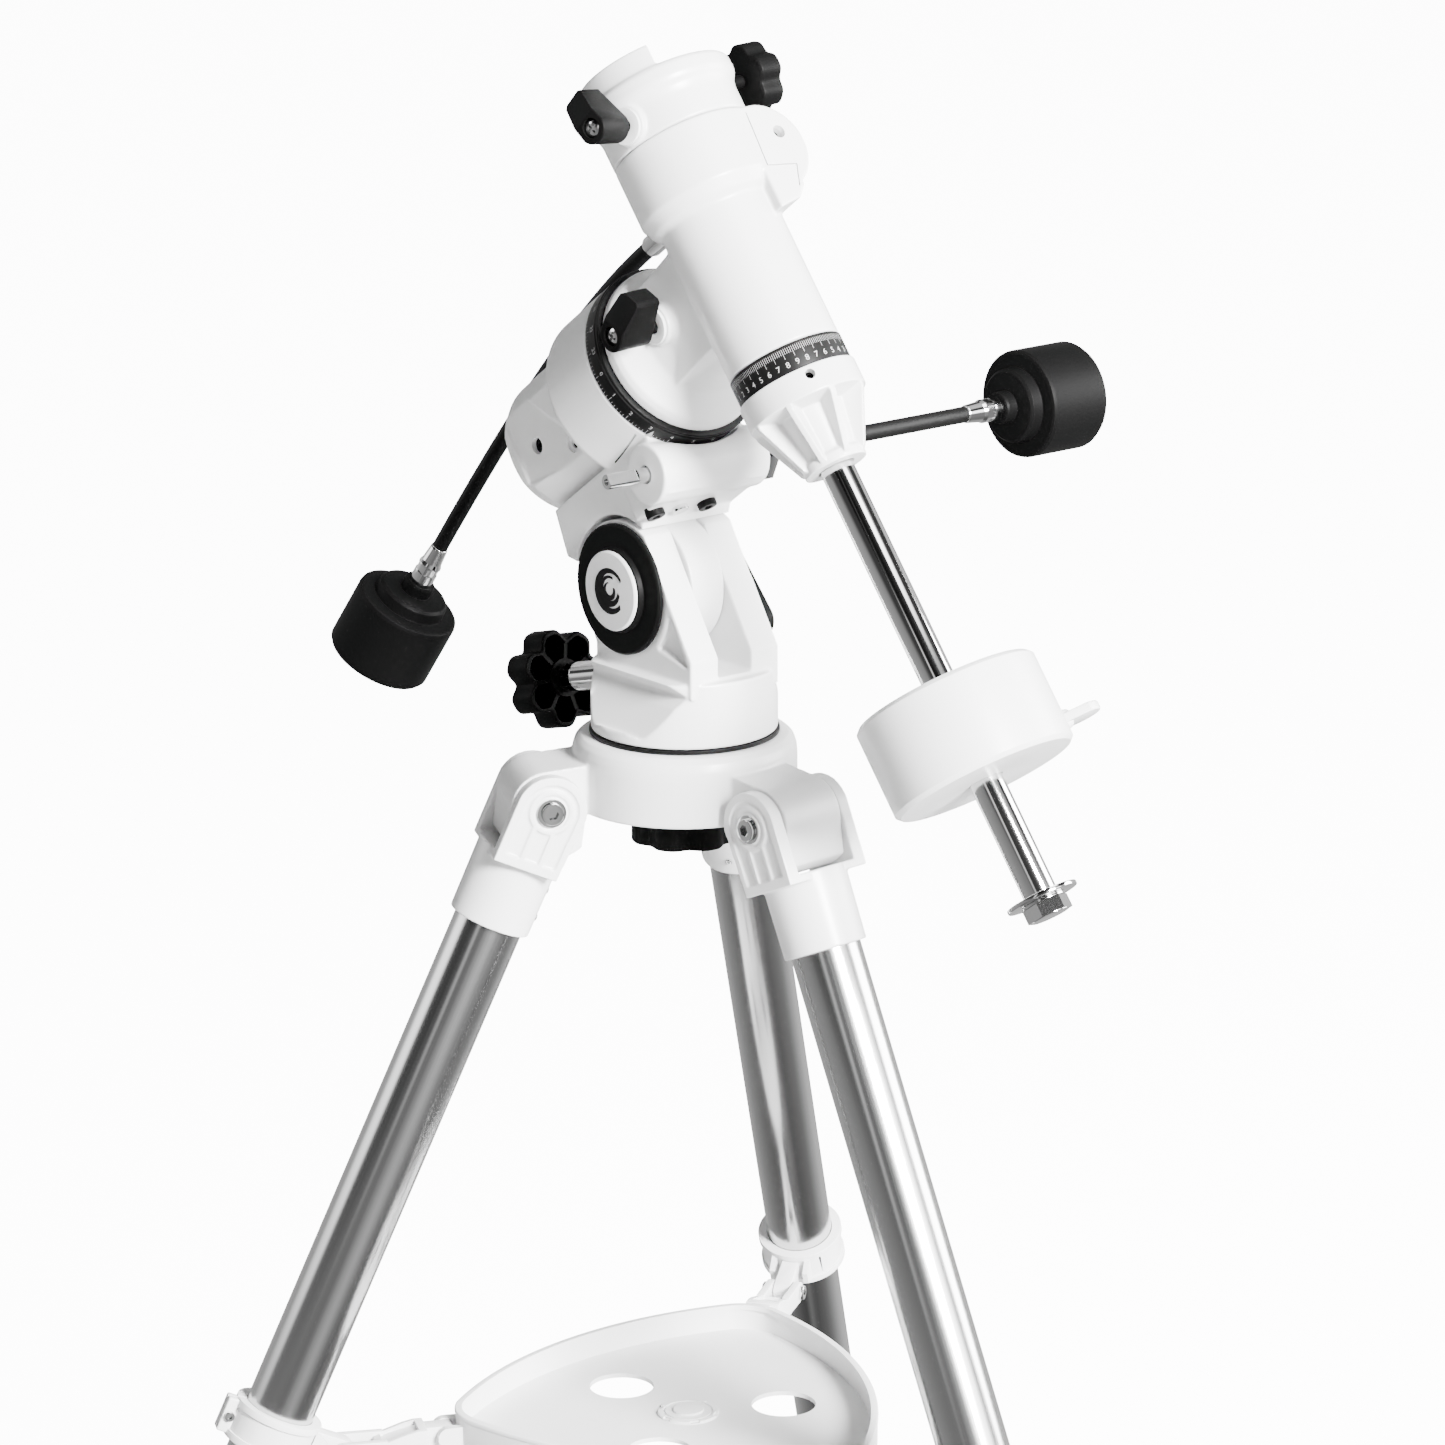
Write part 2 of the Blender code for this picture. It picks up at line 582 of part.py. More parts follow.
# ------------------------------------------------------------------ polar axis
def make_ra_housing():
    chamber = 0.0465
    shaft = 0.0124
    top = 0.0562
    profile = [(0.0, -0.0470), (shaft, -0.0470), (shaft, 0.0400), (chamber, 0.0400),
               (chamber, top), (RA_RADIUS, top), (RA_RADIUS, 0.0150), (0.0490, 0.0125),
               (0.0405, 0.0120), (0.0400, -0.0460), (0.0370, -0.0545),
               (0.0300, -0.0600), (0.0, -0.0620)]
    housing = lathe("ra_housing", RA, HERE, profile, WHITE, LARGE)
    for side in (-1, 1):
        low, high = sorted((side * 0.0345, side * 0.060))
        cut(housing, block("flat", RA, HERE, (low, -0.05, -0.07), (high, 0.05, 0.0118)))
    # Seen from the side: X is down from the polar axis, Y is along it.
    view = frame((0, 0, 0), (1, 0, 0), (0, 1, 0))
    web = [(0.036, -0.0440), (0.0615, -0.0490), (0.0700, -0.0400), (0.0800, -0.0150),
           (0.0800, 0.0160), (0.0740, 0.0235), (0.036, 0.0235)]
    casting = plate("web", RA, view, web, -FORK_HALF, FORK_HALF)
    eye = along("X", (0.0, HINGE_DOWN, HINGE_STATION))
    cut(casting, rod("web_arch", RA, eye, EAR_RADIUS + 0.0025, -0.04, 0.04, steps=LARGE))
    join(housing, casting)
    knuckle = rod("knuckle", RA, eye, 0.036, -SLOT_HALF + GAP, SLOT_HALF - GAP, steps=LARGE)
    join(knuckle, block("knuckle_neck", RA, HERE,
                        (-SLOT_HALF + GAP, 0.050, HINGE_STATION - 0.030),
                        (SLOT_HALF - GAP, 0.085, HINGE_STATION + 0.030)))
    join(housing, knuckle)
    station, drop = RA_WORM
    worm = along("X", (0.0, drop, station))
    barrel = rod("worm_barrel", RA, worm, 0.0165, -0.036, 0.036, steps=ROUND)
    join(barrel, block("worm_block", RA, HERE, (-0.032, 0.036, 0.020),
                       (0.032, 0.0725, 0.0555)))
    cut(barrel, rod("circle_room", RA, HERE, RA_RADIUS + 0.0012, top + 0.0001, 0.08,
                    steps=LARGE))
    cut(barrel, rod("chamber_room", RA, HERE, chamber + 0.001, 0.0400, 0.08, steps=LARGE))
    join(housing, barrel)
    cut(housing, rod("worm_bore", RA, worm, 0.0121, -0.05, 0.0333, steps=ROUND))
    cut(housing, rod("stub_bore", RA, worm, 0.0050, 0.03, 0.05, steps=SMALL))
    cut(housing, rod("hinge_bore", RA, eye, 0.0083, -0.05, 0.05, steps=ROUND))
    for drop, station, radius in ((0.0023, -0.0321, 0.0046), (0.0148, -0.0025, 0.0030)):
        cut(housing, rod("side_bore", RA, along("X", (0.0, drop, station)), radius,
                         0.024, 0.06, steps=SMALL))


def make_ra_drive():
    station, drop = RA_WORM
    worm = along("X", (0.0, drop, station))
    profile = [(0.0, 0.062), (0.0040, 0.062), (0.0040, 0.0330), (0.0108, 0.0330),
               (0.0108, -0.0330), (0.0060, -0.0330), (0.0060, -0.0365),
               (0.0125, -0.0365), (0.0125, -0.0440), (0.0055, -0.0440),
               (0.0055, -0.060), (0.0, -0.060)]
    shaft = lathe("ra_worm", RA, worm, profile, CHROME, SMALL)
    cut(shaft, block("stub_flat", RA, worm, (-0.01, 0.0026, 0.046), (0.01, 0.01, 0.07)))
    ring("ra_worm_wheel", RA, HERE, 0.0456, 0.0124, 0.0405, 0.0540, BRASS, LARGE)
    cable = [(0.0, -0.0603), (0.0075, -0.0603), (0.0075, -0.094),
             (CABLE_RADIUS, -0.095), (CABLE_RADIUS, -0.186), (0.0055, -0.188),
             (0.0066, -0.200), (0.0066, -0.2115), (0.0, -0.2115)]
    lathe("ra_cable", RA, worm, cable, BLACK, SMALL)
    lathe("ra_cable_knob", RA, worm, knob_profile(-0.2118, -1), BLACK, ROUND)
    ring("ra_setting_circle", TURNED, HERE, RA_RADIUS, 0.0395, 0.0566, 0.0677, DIAL, LARGE)
    rod("ra_axle", TURNED, HERE, 0.0120, -0.0465, 0.0662, STEEL, ROUND)


def knob_profile(start, way):
    """Slow-motion knob: boss, stepped disc and drum, away from its ferrule."""
    steps = [(0.0, 0.0), (0.0090, 0.0), (0.0090, 0.007), (0.0205, 0.007),
             (0.0210, 0.015), (0.0280, 0.0155), (KNOB_RADIUS, 0.0175),
             (KNOB_RADIUS, 0.054), (0.0285, 0.0558), (0.0, 0.0558)]
    profile = [(radius, start + way * height) for radius, height in steps]
    return profile if way < 0 else profile[::-1]


# -------------------------------------------------------------- declination head
def make_dec_housing():
    neck = [(0.0, 0.135), (0.0260, 0.135), (0.0260, 0.112), (0.0300, 0.100),
            (0.0345, 0.088), (0.0400, 0.0795), (0.0462, 0.0755), (0.0466, 0.0720),
            (0.0466, 0.0680), (0.0391, 0.0680), (0.0391, 0.0568), (0.0123, 0.0568),
            (0.0123, 0.0665), (0.0, 0.0665)]
    housing = lathe("dec_housing", TURNED, HERE, neck, WHITE, LARGE)
    # Seen from the side: X is down from the polar axis, Y is along it.
    view = frame((0, 0, 0), (1, 0, 0), (0, 1, 0))
    box = [(-0.0300, 0.0745), (-0.0355, 0.1250), (0.0205, 0.1250), (0.0240, 0.0745)]
    join(housing, plate("neck_box", TURNED, view, box, -0.0255, 0.0255, bevel=0.0022))
    tube = [(0.0, 0.0419), (DEC_RADIUS, 0.0419), (DEC_RADIUS, -0.0420),
            (0.0345, -0.0460), (FLANGE_RADIUS, -0.0520), (FLANGE_RADIUS, -0.0860),
            (0.0, -0.0860)]
    join(housing, lathe("dec_tube", DEC, HERE, tube, steps=LARGE))
    offset, station = DEC_WORM
    # Seen from the front: X is sideways, Y is down the declination axis.
    lobe = arc((-0.0215, -0.0605), 0.0247, radians(90), radians(270), 10)
    lobe += [(-0.0120, -0.0852), (-0.0120, -0.0358)]
    join(housing, plate("worm_block", TURNED, HERE, lobe, DEC_STATION - 0.036,
                        DEC_STATION + 0.036))
    foot = [(-0.0120, -0.0500), (-0.0330, -0.0500), (-0.0330, -0.0365),
            (-0.0270, -0.0300), (-0.0120, -0.0270)]
    join(housing, plate("block_foot", TURNED, HERE, foot, DEC_STATION + 0.014,
                        DEC_STATION + 0.036))
    boss = along("X", (0.0, -0.007, 0.098))
    join(housing, rod("clutch_boss", TURNED, boss, 0.0100, 0.015, 0.0345, steps=SMALL))
    cut(housing, rod("clutch_hole", TURNED, boss, 0.0040, 0.020, 0.04, steps=SMALL))
    cut(housing, rod("dec_bore", DEC, HERE, 0.0100, -0.10, 0.06, steps=ROUND))
    cut(housing, rod("wheel_room", DEC, HERE, 0.0235, -0.10, -0.064, steps=ROUND))
    worm = shift(offset, station, DEC_STATION)
    cut(housing, rod("worm_bore", TURNED, worm, 0.0098, -0.05, 0.05, steps=SMALL))


def make_dec_drive():
    offset, station = DEC_WORM
    worm = shift(offset, station, DEC_STATION)
    profile = [(0.0, 0.0375), (0.0055, 0.0375), (0.0055, 0.0330), (0.0090, 0.0330),
               (0.0090, -0.0330), (0.0050, -0.0330), (0.0050, -0.0420),
               (0.0060, -0.0420), (0.0060, -0.0960), (0.0, -0.0960)]
    lathe("dec_worm", TURNED, worm, profile, CHROME, SMALL)
    ring("dec_worm_wheel", DEC, HERE, 0.0228, 0.0098, -0.0855, -0.0645, BRASS, ROUND)
    ring("dec_setting_circle", DEC, HERE, DEC_RADIUS + 0.0003, 0.0203, 0.0422, 0.0563,
         DIAL, LARGE)


def cable_curve(start, start_way, end, end_way, pull, steps):
    """Smooth curve between two places, leaving and arriving along two ways."""
    first = start + start_way.normalized() * pull[0]
    last = end - end_way.normalized() * pull[1]
    points = []
    for i in range(steps + 1):
        t = i / steps
        u = 1 - t
        points.append(start * u ** 3 + first * 3 * u * u * t
                      + last * 3 * u * t * t + end * t ** 3)
    return points


def make_dec_cable():
    """Flexible shaft: straight off the worm, then hanging down to its knob."""
    offset, station = DEC_WORM
    into = world_of[TURNED].inverted() @ world_of[HEAD]
    turn = into.to_3x3()
    leave = Vector((offset, station, DEC_STATION - 0.0963))
    start = Vector((offset, station, DEC_STATION - 0.1010))
    end = into @ Vector((0.0127, -0.204, 0.061))
    way = turn @ Vector((0.219, -0.467, -0.855))
    curve = cable_curve(start, Vector((0, 0, -1)), end, way, (0.085, 0.060), 14)
    cable = wire("dec_cable", TURNED, HERE, [leave] + curve, CABLE_RADIUS, BLACK)
    tip = frame(end, way, (1, 0, 0))
    join(cable, rod("ferrule", TURNED, tip, 0.0066, -0.004, 0.0200, steps=SMALL))
    lathe("dec_cable_knob", TURNED, tip, knob_profile(0.0203, 1), BLACK, ROUND)


def make_saddle():
    top = 0.131
    # Height here runs up the declination axis, away from the counterweight.
    up = along("-Z")
    profile = [(0.0, top), (0.0385, top), (0.0385, -SADDLE_SEAT), (0.0415, 0.1180),
               (0.0415, 0.1085), (0.0380, 0.1030), (0.0380, 0.0863), (0.0095, 0.0863), (0.0095, -0.0940), (0.0, -0.0940)]
    saddle = lathe("saddle", DEC, up, profile, WHITE, LARGE)
    # Across: local Y of the declination frame points to the fixed jaw.
    cut(saddle, block("seat", DEC, HERE, (-0.06, -0.06, -0.16),
                      (0.06, 0.0205, SADDLE_SEAT)))
    clamp = along("-Y", (0.0, 0.0, -0.1125))
    cut(saddle, rod("clamp_hole", DEC, clamp, 0.0038, 0.015, 0.06, steps=SMALL))
    outline = star_outline(0.0195, 6, 0.0030, 4)
    knob = plate("saddle_knob", DEC, clamp, outline, 0.0560, 0.0700, BLACK, bevel=0.0012)
    join(knob, rod("clamp_stem", DEC, clamp, 0.0035, 0.0190, 0.0600, steps=SMALL))
    lean = CLUTCH_LEAN
    side = frame((0.0, 0.0, CLUTCH_STATION), (sin(lean), cos(lean), 0.0), (0, 0, -1))
    join(saddle, rod("clutch_boss", DEC, side, 0.0060, 0.034, 0.0420, steps=SMALL))
    cut(saddle, rod("clutch_hole", DEC, side, 0.0036, 0.030, 0.05, steps=SMALL))
    make_lever("dec_clutch_lever", DEC, side, 0.0423, 0.0032, radians(18))
    boss = along("X", (0.0, -0.007, 0.098))
    make_lever("ra_clutch_lever", TURNED, boss, 0.0348, 0.0036, radians(120))


def make_lever(name, axis, side, start, stem, turn):
    """Clutch lever: a thick tapered handle on a stem, turned about its axis."""
    handle = arc((0.0, 0.0), 0.0085, radians(100), radians(260), 6)
    handle += [(0.0210, -0.0070), (0.0225, -0.0050), (0.0225, 0.0050),
               (0.0210, 0.0070)]
    placed = side @ Matrix.Rotation(turn, 4, "Z")
    lever = plate(name, axis, placed, handle, start + 0.0060, start + 0.0280, BLACK)
    join(lever, rod("stem", axis, side, stem, start - 0.0100, start + 0.0080, steps=SMALL))


def make_counterweight_parts():
    hub = [(0.0172, 0.1050), (0.0172, 0.1000), (0.0152, 0.0985), (0.0190, 0.0735),
           (0.0325, 0.0712), (0.0325, 0.0566), (0.0200, 0.0566), (0.0200, 0.0424),
           (0.0098, 0.0424), (0.0098, 0.1050)]
    collar = lathe("shaft_collar", DEC, HERE, hub, WHITE, ROUND, closed=True)
    fin = [(0.0698, 0.012), (0.0698, 0.0320), (0.0735, 0.0318), (0.1015, 0.0180),
           (0.1015, 0.012)]
    for i in range(8):
        turn = Matrix.Rotation(i * pi / 4 + radians(12), 4, "Z")
        # The fin's outline runs along the axis and outwards from it.
        view = turn @ frame((0, 0, 0), (0, 1, 0), (0, 0, 1))
        join(collar, plate("fin", DEC, view, fin, -0.0016, 0.0016))
    rod("counterweight_shaft", DEC, HERE, SHAFT_RADIUS, 0.0943, SHAFT_END, CHROME, ROUND)
    low, high = WEIGHT_SPAN
    edge = WEIGHT_RADIUS - 0.0024
    profile = [(edge, high), (WEIGHT_RADIUS, high - 0.0024),
               (WEIGHT_RADIUS, low + 0.0024), (edge, low), (0.0094, low),
               (0.0094, high)]
    weight = lathe("counterweight", DEC, HERE, profile, WHITE, LARGE, closed=True)
    lock = frame((0.0, 0.0, 0.270), (0.22, -0.975, 0.0), (0, 0, 1))
    cut(weight, rod("lock_hole", DEC, lock, 0.0044, 0.0, 0.06, steps=SMALL))
    wing = arc((0.0, 0.0640), 0.0130, radians(10), radians(170), 8)
    wing += [(-0.0050, 0.0535), (0.0050, 0.0535)]
    flat = lock @ frame((0, 0, 0), (1, 0, 0), (0, 1, 0))
    screw = plate("counterweight_lock_screw", DEC, flat, wing, -0.0025, 0.0025, WHITE)
    join(screw, rod("lock_stem", DEC, lock, 0.0040, 0.0105, 0.0580, steps=SMALL))
    washer = rod("toe_stop", DEC, HERE, 0.01925, SHAFT_END + GAP, SHAFT_END + 0.0033,
                 CHROME, ROUND)
    join(washer, rod("hex_head", DEC, HERE, 0.0138, SHAFT_END + 0.002,
                     SHAFT_END + 0.0115, steps=6))


# ----------------------------------------------------------------------- build
make_tripod_head()
for leg_name, leg_angle in LEGS.items():
    make_leg(leg_name, leg_angle)
    make_arm(leg_name, leg_angle)
make_tray()
make_azimuth_knob()
make_azimuth_base()
make_latitude_parts()
make_ra_housing()
make_ra_drive()
make_dec_housing()
make_dec_drive()
make_dec_cable()
make_saddle()
make_counterweight_parts()
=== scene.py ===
"""Looks of the equatorial mount: fine pieces, materials, light and camera on its frame."""
import json
from math import acos, atan2, cos, pi, radians, sin, sqrt

import bmesh
import bpy
import numpy as np
from mathutils import Matrix, Vector


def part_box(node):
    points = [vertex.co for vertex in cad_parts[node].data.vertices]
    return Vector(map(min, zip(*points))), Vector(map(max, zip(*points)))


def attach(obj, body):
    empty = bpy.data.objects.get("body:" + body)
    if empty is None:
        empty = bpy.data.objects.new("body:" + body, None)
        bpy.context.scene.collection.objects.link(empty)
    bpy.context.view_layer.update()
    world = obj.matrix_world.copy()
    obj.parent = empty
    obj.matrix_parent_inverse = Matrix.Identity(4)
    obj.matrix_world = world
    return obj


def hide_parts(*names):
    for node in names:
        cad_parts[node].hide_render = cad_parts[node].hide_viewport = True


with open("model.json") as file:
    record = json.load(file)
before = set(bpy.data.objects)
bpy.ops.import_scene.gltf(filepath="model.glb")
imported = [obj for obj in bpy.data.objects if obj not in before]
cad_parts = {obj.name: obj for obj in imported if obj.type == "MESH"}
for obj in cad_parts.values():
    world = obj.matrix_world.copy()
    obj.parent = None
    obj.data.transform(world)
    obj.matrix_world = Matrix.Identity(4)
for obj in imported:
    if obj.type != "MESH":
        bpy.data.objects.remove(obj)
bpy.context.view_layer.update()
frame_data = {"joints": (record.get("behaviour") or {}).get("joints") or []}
JOINTS = {joint["name"]: joint for joint in frame_data["joints"]}
VOXEL = 0.0007   # grain of a cast piece's surface
TURN = 96                                  # facets of a large turned piece
WELD = 0.000005                            # closer points are one

# ------------------------------------------------------------- driving sizes
EAR_RADIUS = 0.037
FORK_HALF = 0.030
SLOT_HALF = 0.01125
BASE_RADIUS = 0.0503
BASE_TOP = 0.038
HEAD_RADIUS = 0.0607
HEAD_DEPTH = 0.038
TUBE_RADIUS = 0.0190
COLLAR_RADIUS = 0.0224
DEC_RADIUS = 0.031
RA_RADIUS = 0.050
CABLE_RADIUS = 0.0045
KNOB_RADIUS = 0.030
FLANGE_RADIUS = 0.038                      # wide lower end of the declination tube
INNER_TUBE_RADIUS = 0.0159                 # lower leg tube
CLAMP_STATION = -0.3788                    # spreader ring, along the leg
CLAMP_REACH = 0.0417                       # from the leg's axis to the spreader pin


# -------------------------------------------------------------------- frames
def spot(name):
    return Vector(JOINTS[name]["pos_m"])


def way(name):
    return Vector(JOINTS[name]["axis"]).normalized()


def frame(origin, z_axis, x_hint):
    """Matrix whose Z runs along z_axis and whose X is nearest to x_hint."""
    z = Vector(z_axis).normalized()
    y = z.cross(Vector(x_hint)).normalized()
    x = y.cross(z)
    matrix = Matrix((x, y, z)).transposed().to_4x4()
    matrix.translation = Vector(origin)
    return matrix


def shift(x=0.0, y=0.0, z=0.0):
    return Matrix.Translation((x, y, z))


def spin(angle):
    return Matrix.Rotation(angle, 4, "Z")


def span(side, near, far):
    """Two reaches from a middle plane, lowest first; side is 1 or -1."""
    return sorted((side * near, side * far))


def along(axis, origin=(0.0, 0.0, 0.0)):
    """Local frame whose Z runs along the named axis of the parent frame."""
    hints = {"X": ((1, 0, 0), (0, 1, 0)), "-X": ((-1, 0, 0), (0, 1, 0)),
             "Y": ((0, 1, 0), (0, 0, 1)), "-Y": ((0, -1, 0), (0, 0, 1)),
             "Z": ((0, 0, 1), (1, 0, 0)), "-Z": ((0, 0, -1), (1, 0, 0))}
    z_axis, x_hint = hints[axis]
    return frame(origin, z_axis, x_hint)


UP = Vector((0, 0, 1))
TRIPOD = Matrix.Translation(spot("azimuth_turn"))
HEAD = frame(spot("azimuth_turn"), UP, way("latitude_tilt"))
HINGE = (HEAD.inverted() @ spot("latitude_tilt")).yz
RA = frame(spot("ra_turn"), way("ra_turn"), way("latitude_tilt"))
DEC = frame(spot("dec_turn"), way("dec_turn"), way("ra_turn"))
TURNED = frame(spot("ra_turn"), way("ra_turn"), way("dec_turn").cross(way("ra_turn")))
RA_WORM = RA.inverted() @ spot("ra_worm_spin")
DEC_WORM = TURNED.inverted() @ spot("dec_worm_spin")
EYE = RA.inverted() @ spot("latitude_tilt")       # the hinge in the polar frame
DEC_STATION = (TURNED.inverted() @ spot("dec_turn")).z
DEC_WORM_AXIS = TURNED @ shift(DEC_WORM.x, DEC_WORM.y, DEC_STATION)
RA_WORM_AXIS = RA @ along("X", (0.0, RA_WORM.y, RA_WORM.z))
POLAR_CLUTCH = TURNED @ along("X", (0.0, -0.007, 0.098))
SIDE_VIEW = frame((0, 0, 0), (1, 0, 0), (0, 1, 0))   # its X, Y, Z are the parent's Y, Z, X
LEGS = {}
for leg_name in ("north", "west", "east"):
    offset = spot("leg_fold_" + leg_name) - spot("azimuth_turn")
    LEGS[leg_name] = atan2(offset.y, offset.x)
LEG_PIVOT = (offset.xy.length, offset.z)


# ----------------------------------------------------------- building blocks
tools = bpy.data.collections.new("tools")
bpy.context.scene.collection.children.link(tools)


def link(name, mesh, matrix):
    """A working object; it is shown only once piece() has finished it."""
    obj = bpy.data.objects.new(name, mesh)
    tools.objects.link(obj)
    obj.matrix_world = matrix
    obj.hide_render = True
    return obj


def shaped(name, bm, matrix):
    """Working object from a bmesh, which is freed."""
    mesh = bpy.data.meshes.new(name)
    bm.to_mesh(mesh)
    bm.free()
    return link(name, mesh, matrix)


def show(name, data):
    """An object put straight into the scene."""
    obj = bpy.data.objects.new(name, data)
    bpy.context.scene.collection.objects.link(obj)
    return obj


def evaluated(obj):
    """Mesh of an object as its modifiers or its curve settings make it."""
    graph = bpy.context.evaluated_depsgraph_get()
    return bpy.data.meshes.new_from_object(obj.evaluated_get(graph))


def rounded(points, radius, closed=False, steps=3):
    """The outline with each corner replaced by a small arc; axis points stay."""
    count = len(points)
    result = []
    for i, here in enumerate(points):
        on_axis = not closed and (i == 0 or i == count - 1)
        if on_axis:
            result.append(here)
            continue
        corner = Vector(here)
        before = Vector(points[i - 1]) - corner
        after = Vector(points[(i + 1) % count]) - corner
        bend = pi - before.angle(after)
        back = min(radius * abs(sin(bend / 2) / max(cos(bend / 2), 0.05)),
                   0.45 * before.length, 0.45 * after.length)
        if bend < radians(12) or back < 0.00002:
            result.append(here)
            continue
        first = corner + before.normalized() * back
        last = corner + after.normalized() * back
        for k in range(steps + 1):
            t = k / steps
            mixed = first * (1 - t) ** 2 + corner * 2 * t * (1 - t) + last * t * t
            result.append((mixed.x, mixed.y))
    return result


def lathe(name, matrix, profile, closed=False, soft=0.0004, steps=TURN):
    """Turned piece: profile of (radius, height), down its outer side."""
    profile = rounded(profile, soft, closed)
    mesh = bpy.data.meshes.new(name)
    edges = [(i, i + 1) for i in range(len(profile) - 1)]
    if closed:
        edges.append((len(profile) - 1, 0))
    mesh.from_pydata([(r, 0.0, h) for r, h in profile], edges, [])
    obj = link(name, mesh, matrix)
    screw = obj.modifiers.new("turn", "SCREW")
    screw.steps = steps
    screw.render_steps = steps
    screw.use_merge_vertices = True
    screw.merge_threshold = WELD
    return obj


def rod(name, matrix, radius, low, high, soft=0.0003, steps=48):
    profile = [(0.0, high), (radius, high), (radius, low), (0.0, low)]
    return lathe(name, matrix, profile, soft=soft, steps=steps)


def ring(name, matrix, outer, inner, low, high, soft=0.0003, steps=TURN):
    profile = [(outer, high), (outer, low), (inner, low), (inner, high)]
    return lathe(name, matrix, profile, closed=True, soft=soft, steps=steps)


def soften(obj, width, segments=3, limit=40.0):
    bevel = obj.modifiers.new("edges", "BEVEL")
    bevel.width = width
    bevel.segments = segments
    bevel.limit_method = "ANGLE"
    bevel.angle_limit = radians(limit)
    return obj


def block(name, matrix, low, high, soft=0.0):
    low = Vector(low)
    high = Vector(high)
    bm = bmesh.new()
    bmesh.ops.create_cube(bm, size=1.0)
    bmesh.ops.scale(bm, vec=high - low, verts=bm.verts)
    bmesh.ops.translate(bm, vec=(low + high) / 2, verts=bm.verts)
    obj = shaped(name, bm, matrix)
    return soften(obj, soft) if soft else obj


def arc(centre, radius, start, end, steps):
    """Points on a circle, both ends included; angles in radians."""
    return [(centre[0] + radius * cos(start + (end - start) * i / steps),
             centre[1] + radius * sin(start + (end - start) * i / steps))
            for i in range(steps + 1)]


def plate(name, matrix, outline, low, high, soft=0.0, rim=50.0):
    """Flat outline in local XY, extruded from low to high along Z."""
    bm = bmesh.new()
    face = bm.faces.new([bm.verts.new((x, y, low)) for x, y in outline])
    made = bmesh.ops.extrude_face_region(bm, geom=[face])
    lifted = [item for item in made["geom"] if isinstance(item, bmesh.types.BMVert)]
    bmesh.ops.translate(bm, vec=(0, 0, high - low), verts=lifted)
    bmesh.ops.recalc_face_normals(bm, faces=bm.faces)
    obj = shaped(name, bm, matrix)
    return soften(obj, soft, limit=rim) if soft else obj


def wire(name, matrix, points, radius):
    """Round bar or cable through the points."""
    curve = bpy.data.curves.new(name, "CURVE")
    curve.dimensions = "3D"
    curve.bevel_depth = radius
    curve.bevel_resolution = 6
    curve.use_fill_caps = True
    spline = curve.splines.new("POLY")
    spline.points.add(len(points) - 1)
    for point, place in zip(spline.points, points):
        point.co = (*place, 1.0)
    carrier = show(name, curve)
    bm = bmesh.new()
    bm.from_mesh(evaluated(carrier))
    bpy.data.objects.remove(carrier, do_unlink=True)
    bmesh.ops.remove_doubles(bm, verts=bm.verts, dist=WELD)
    return shaped(name, bm, matrix)


def applied(obj):
    """Runs the object's modifiers into its mesh and drops their helper objects."""
    if not obj.modifiers:
        return obj
    helpers = [m.object for m in obj.modifiers if m.type == "BOOLEAN"]
    mesh = evaluated(obj)
    obj.modifiers.clear()
    obj.data = mesh
    for helper in helpers:
        bpy.data.objects.remove(helper, do_unlink=True)
    return obj


def combine(obj, operation, others, solver="EXACT"):
    applied(obj)
    for other in others:
        applied(other)
        boolean = obj.modifiers.new(operation.lower(), "BOOLEAN")
        boolean.operation = operation
        boolean.solver = solver
        boolean.object = other
    return applied(obj)


def join(obj, *others):
    return combine(obj, "UNION", others)


def cut(obj, *others):
    return combine(obj, "DIFFERENCE", others)


def carve(obj, *others):
    """Fast cut into a finished cast surface, so that the cut stays sharp."""
    return combine(obj, "DIFFERENCE", others, solver="MANIFOLD")


def scribe(matrix, points, low, high, wide=0.0005):
    """Thin cutters along a broken line, for the joints between castings."""
    cutters = []
    for (x, y), (next_x, next_y) in zip(points, points[1:]):
        here = matrix @ shift(x, y) @ spin(atan2(next_y - y, next_x - x))
        length = sqrt((next_x - x) ** 2 + (next_y - y) ** 2)
        cutters.append(block("line", here, (0.0, -wide / 2, low), (length, wide / 2, high)))
    return cutters


def merge(obj, *others):
    """Puts separate closed shells into one mesh, without a Boolean."""
    applied(obj)
    bm = bmesh.new()
    bm.from_mesh(obj.data)
    inverse = obj.matrix_world.inverted()
    for other in others:
        applied(other)
        part = other.data.copy()
        part.transform(inverse @ other.matrix_world)
        bm.from_mesh(part)
        bpy.data.objects.remove(other, do_unlink=True)
    bm.to_mesh(obj.data)
    bm.free()
    return obj


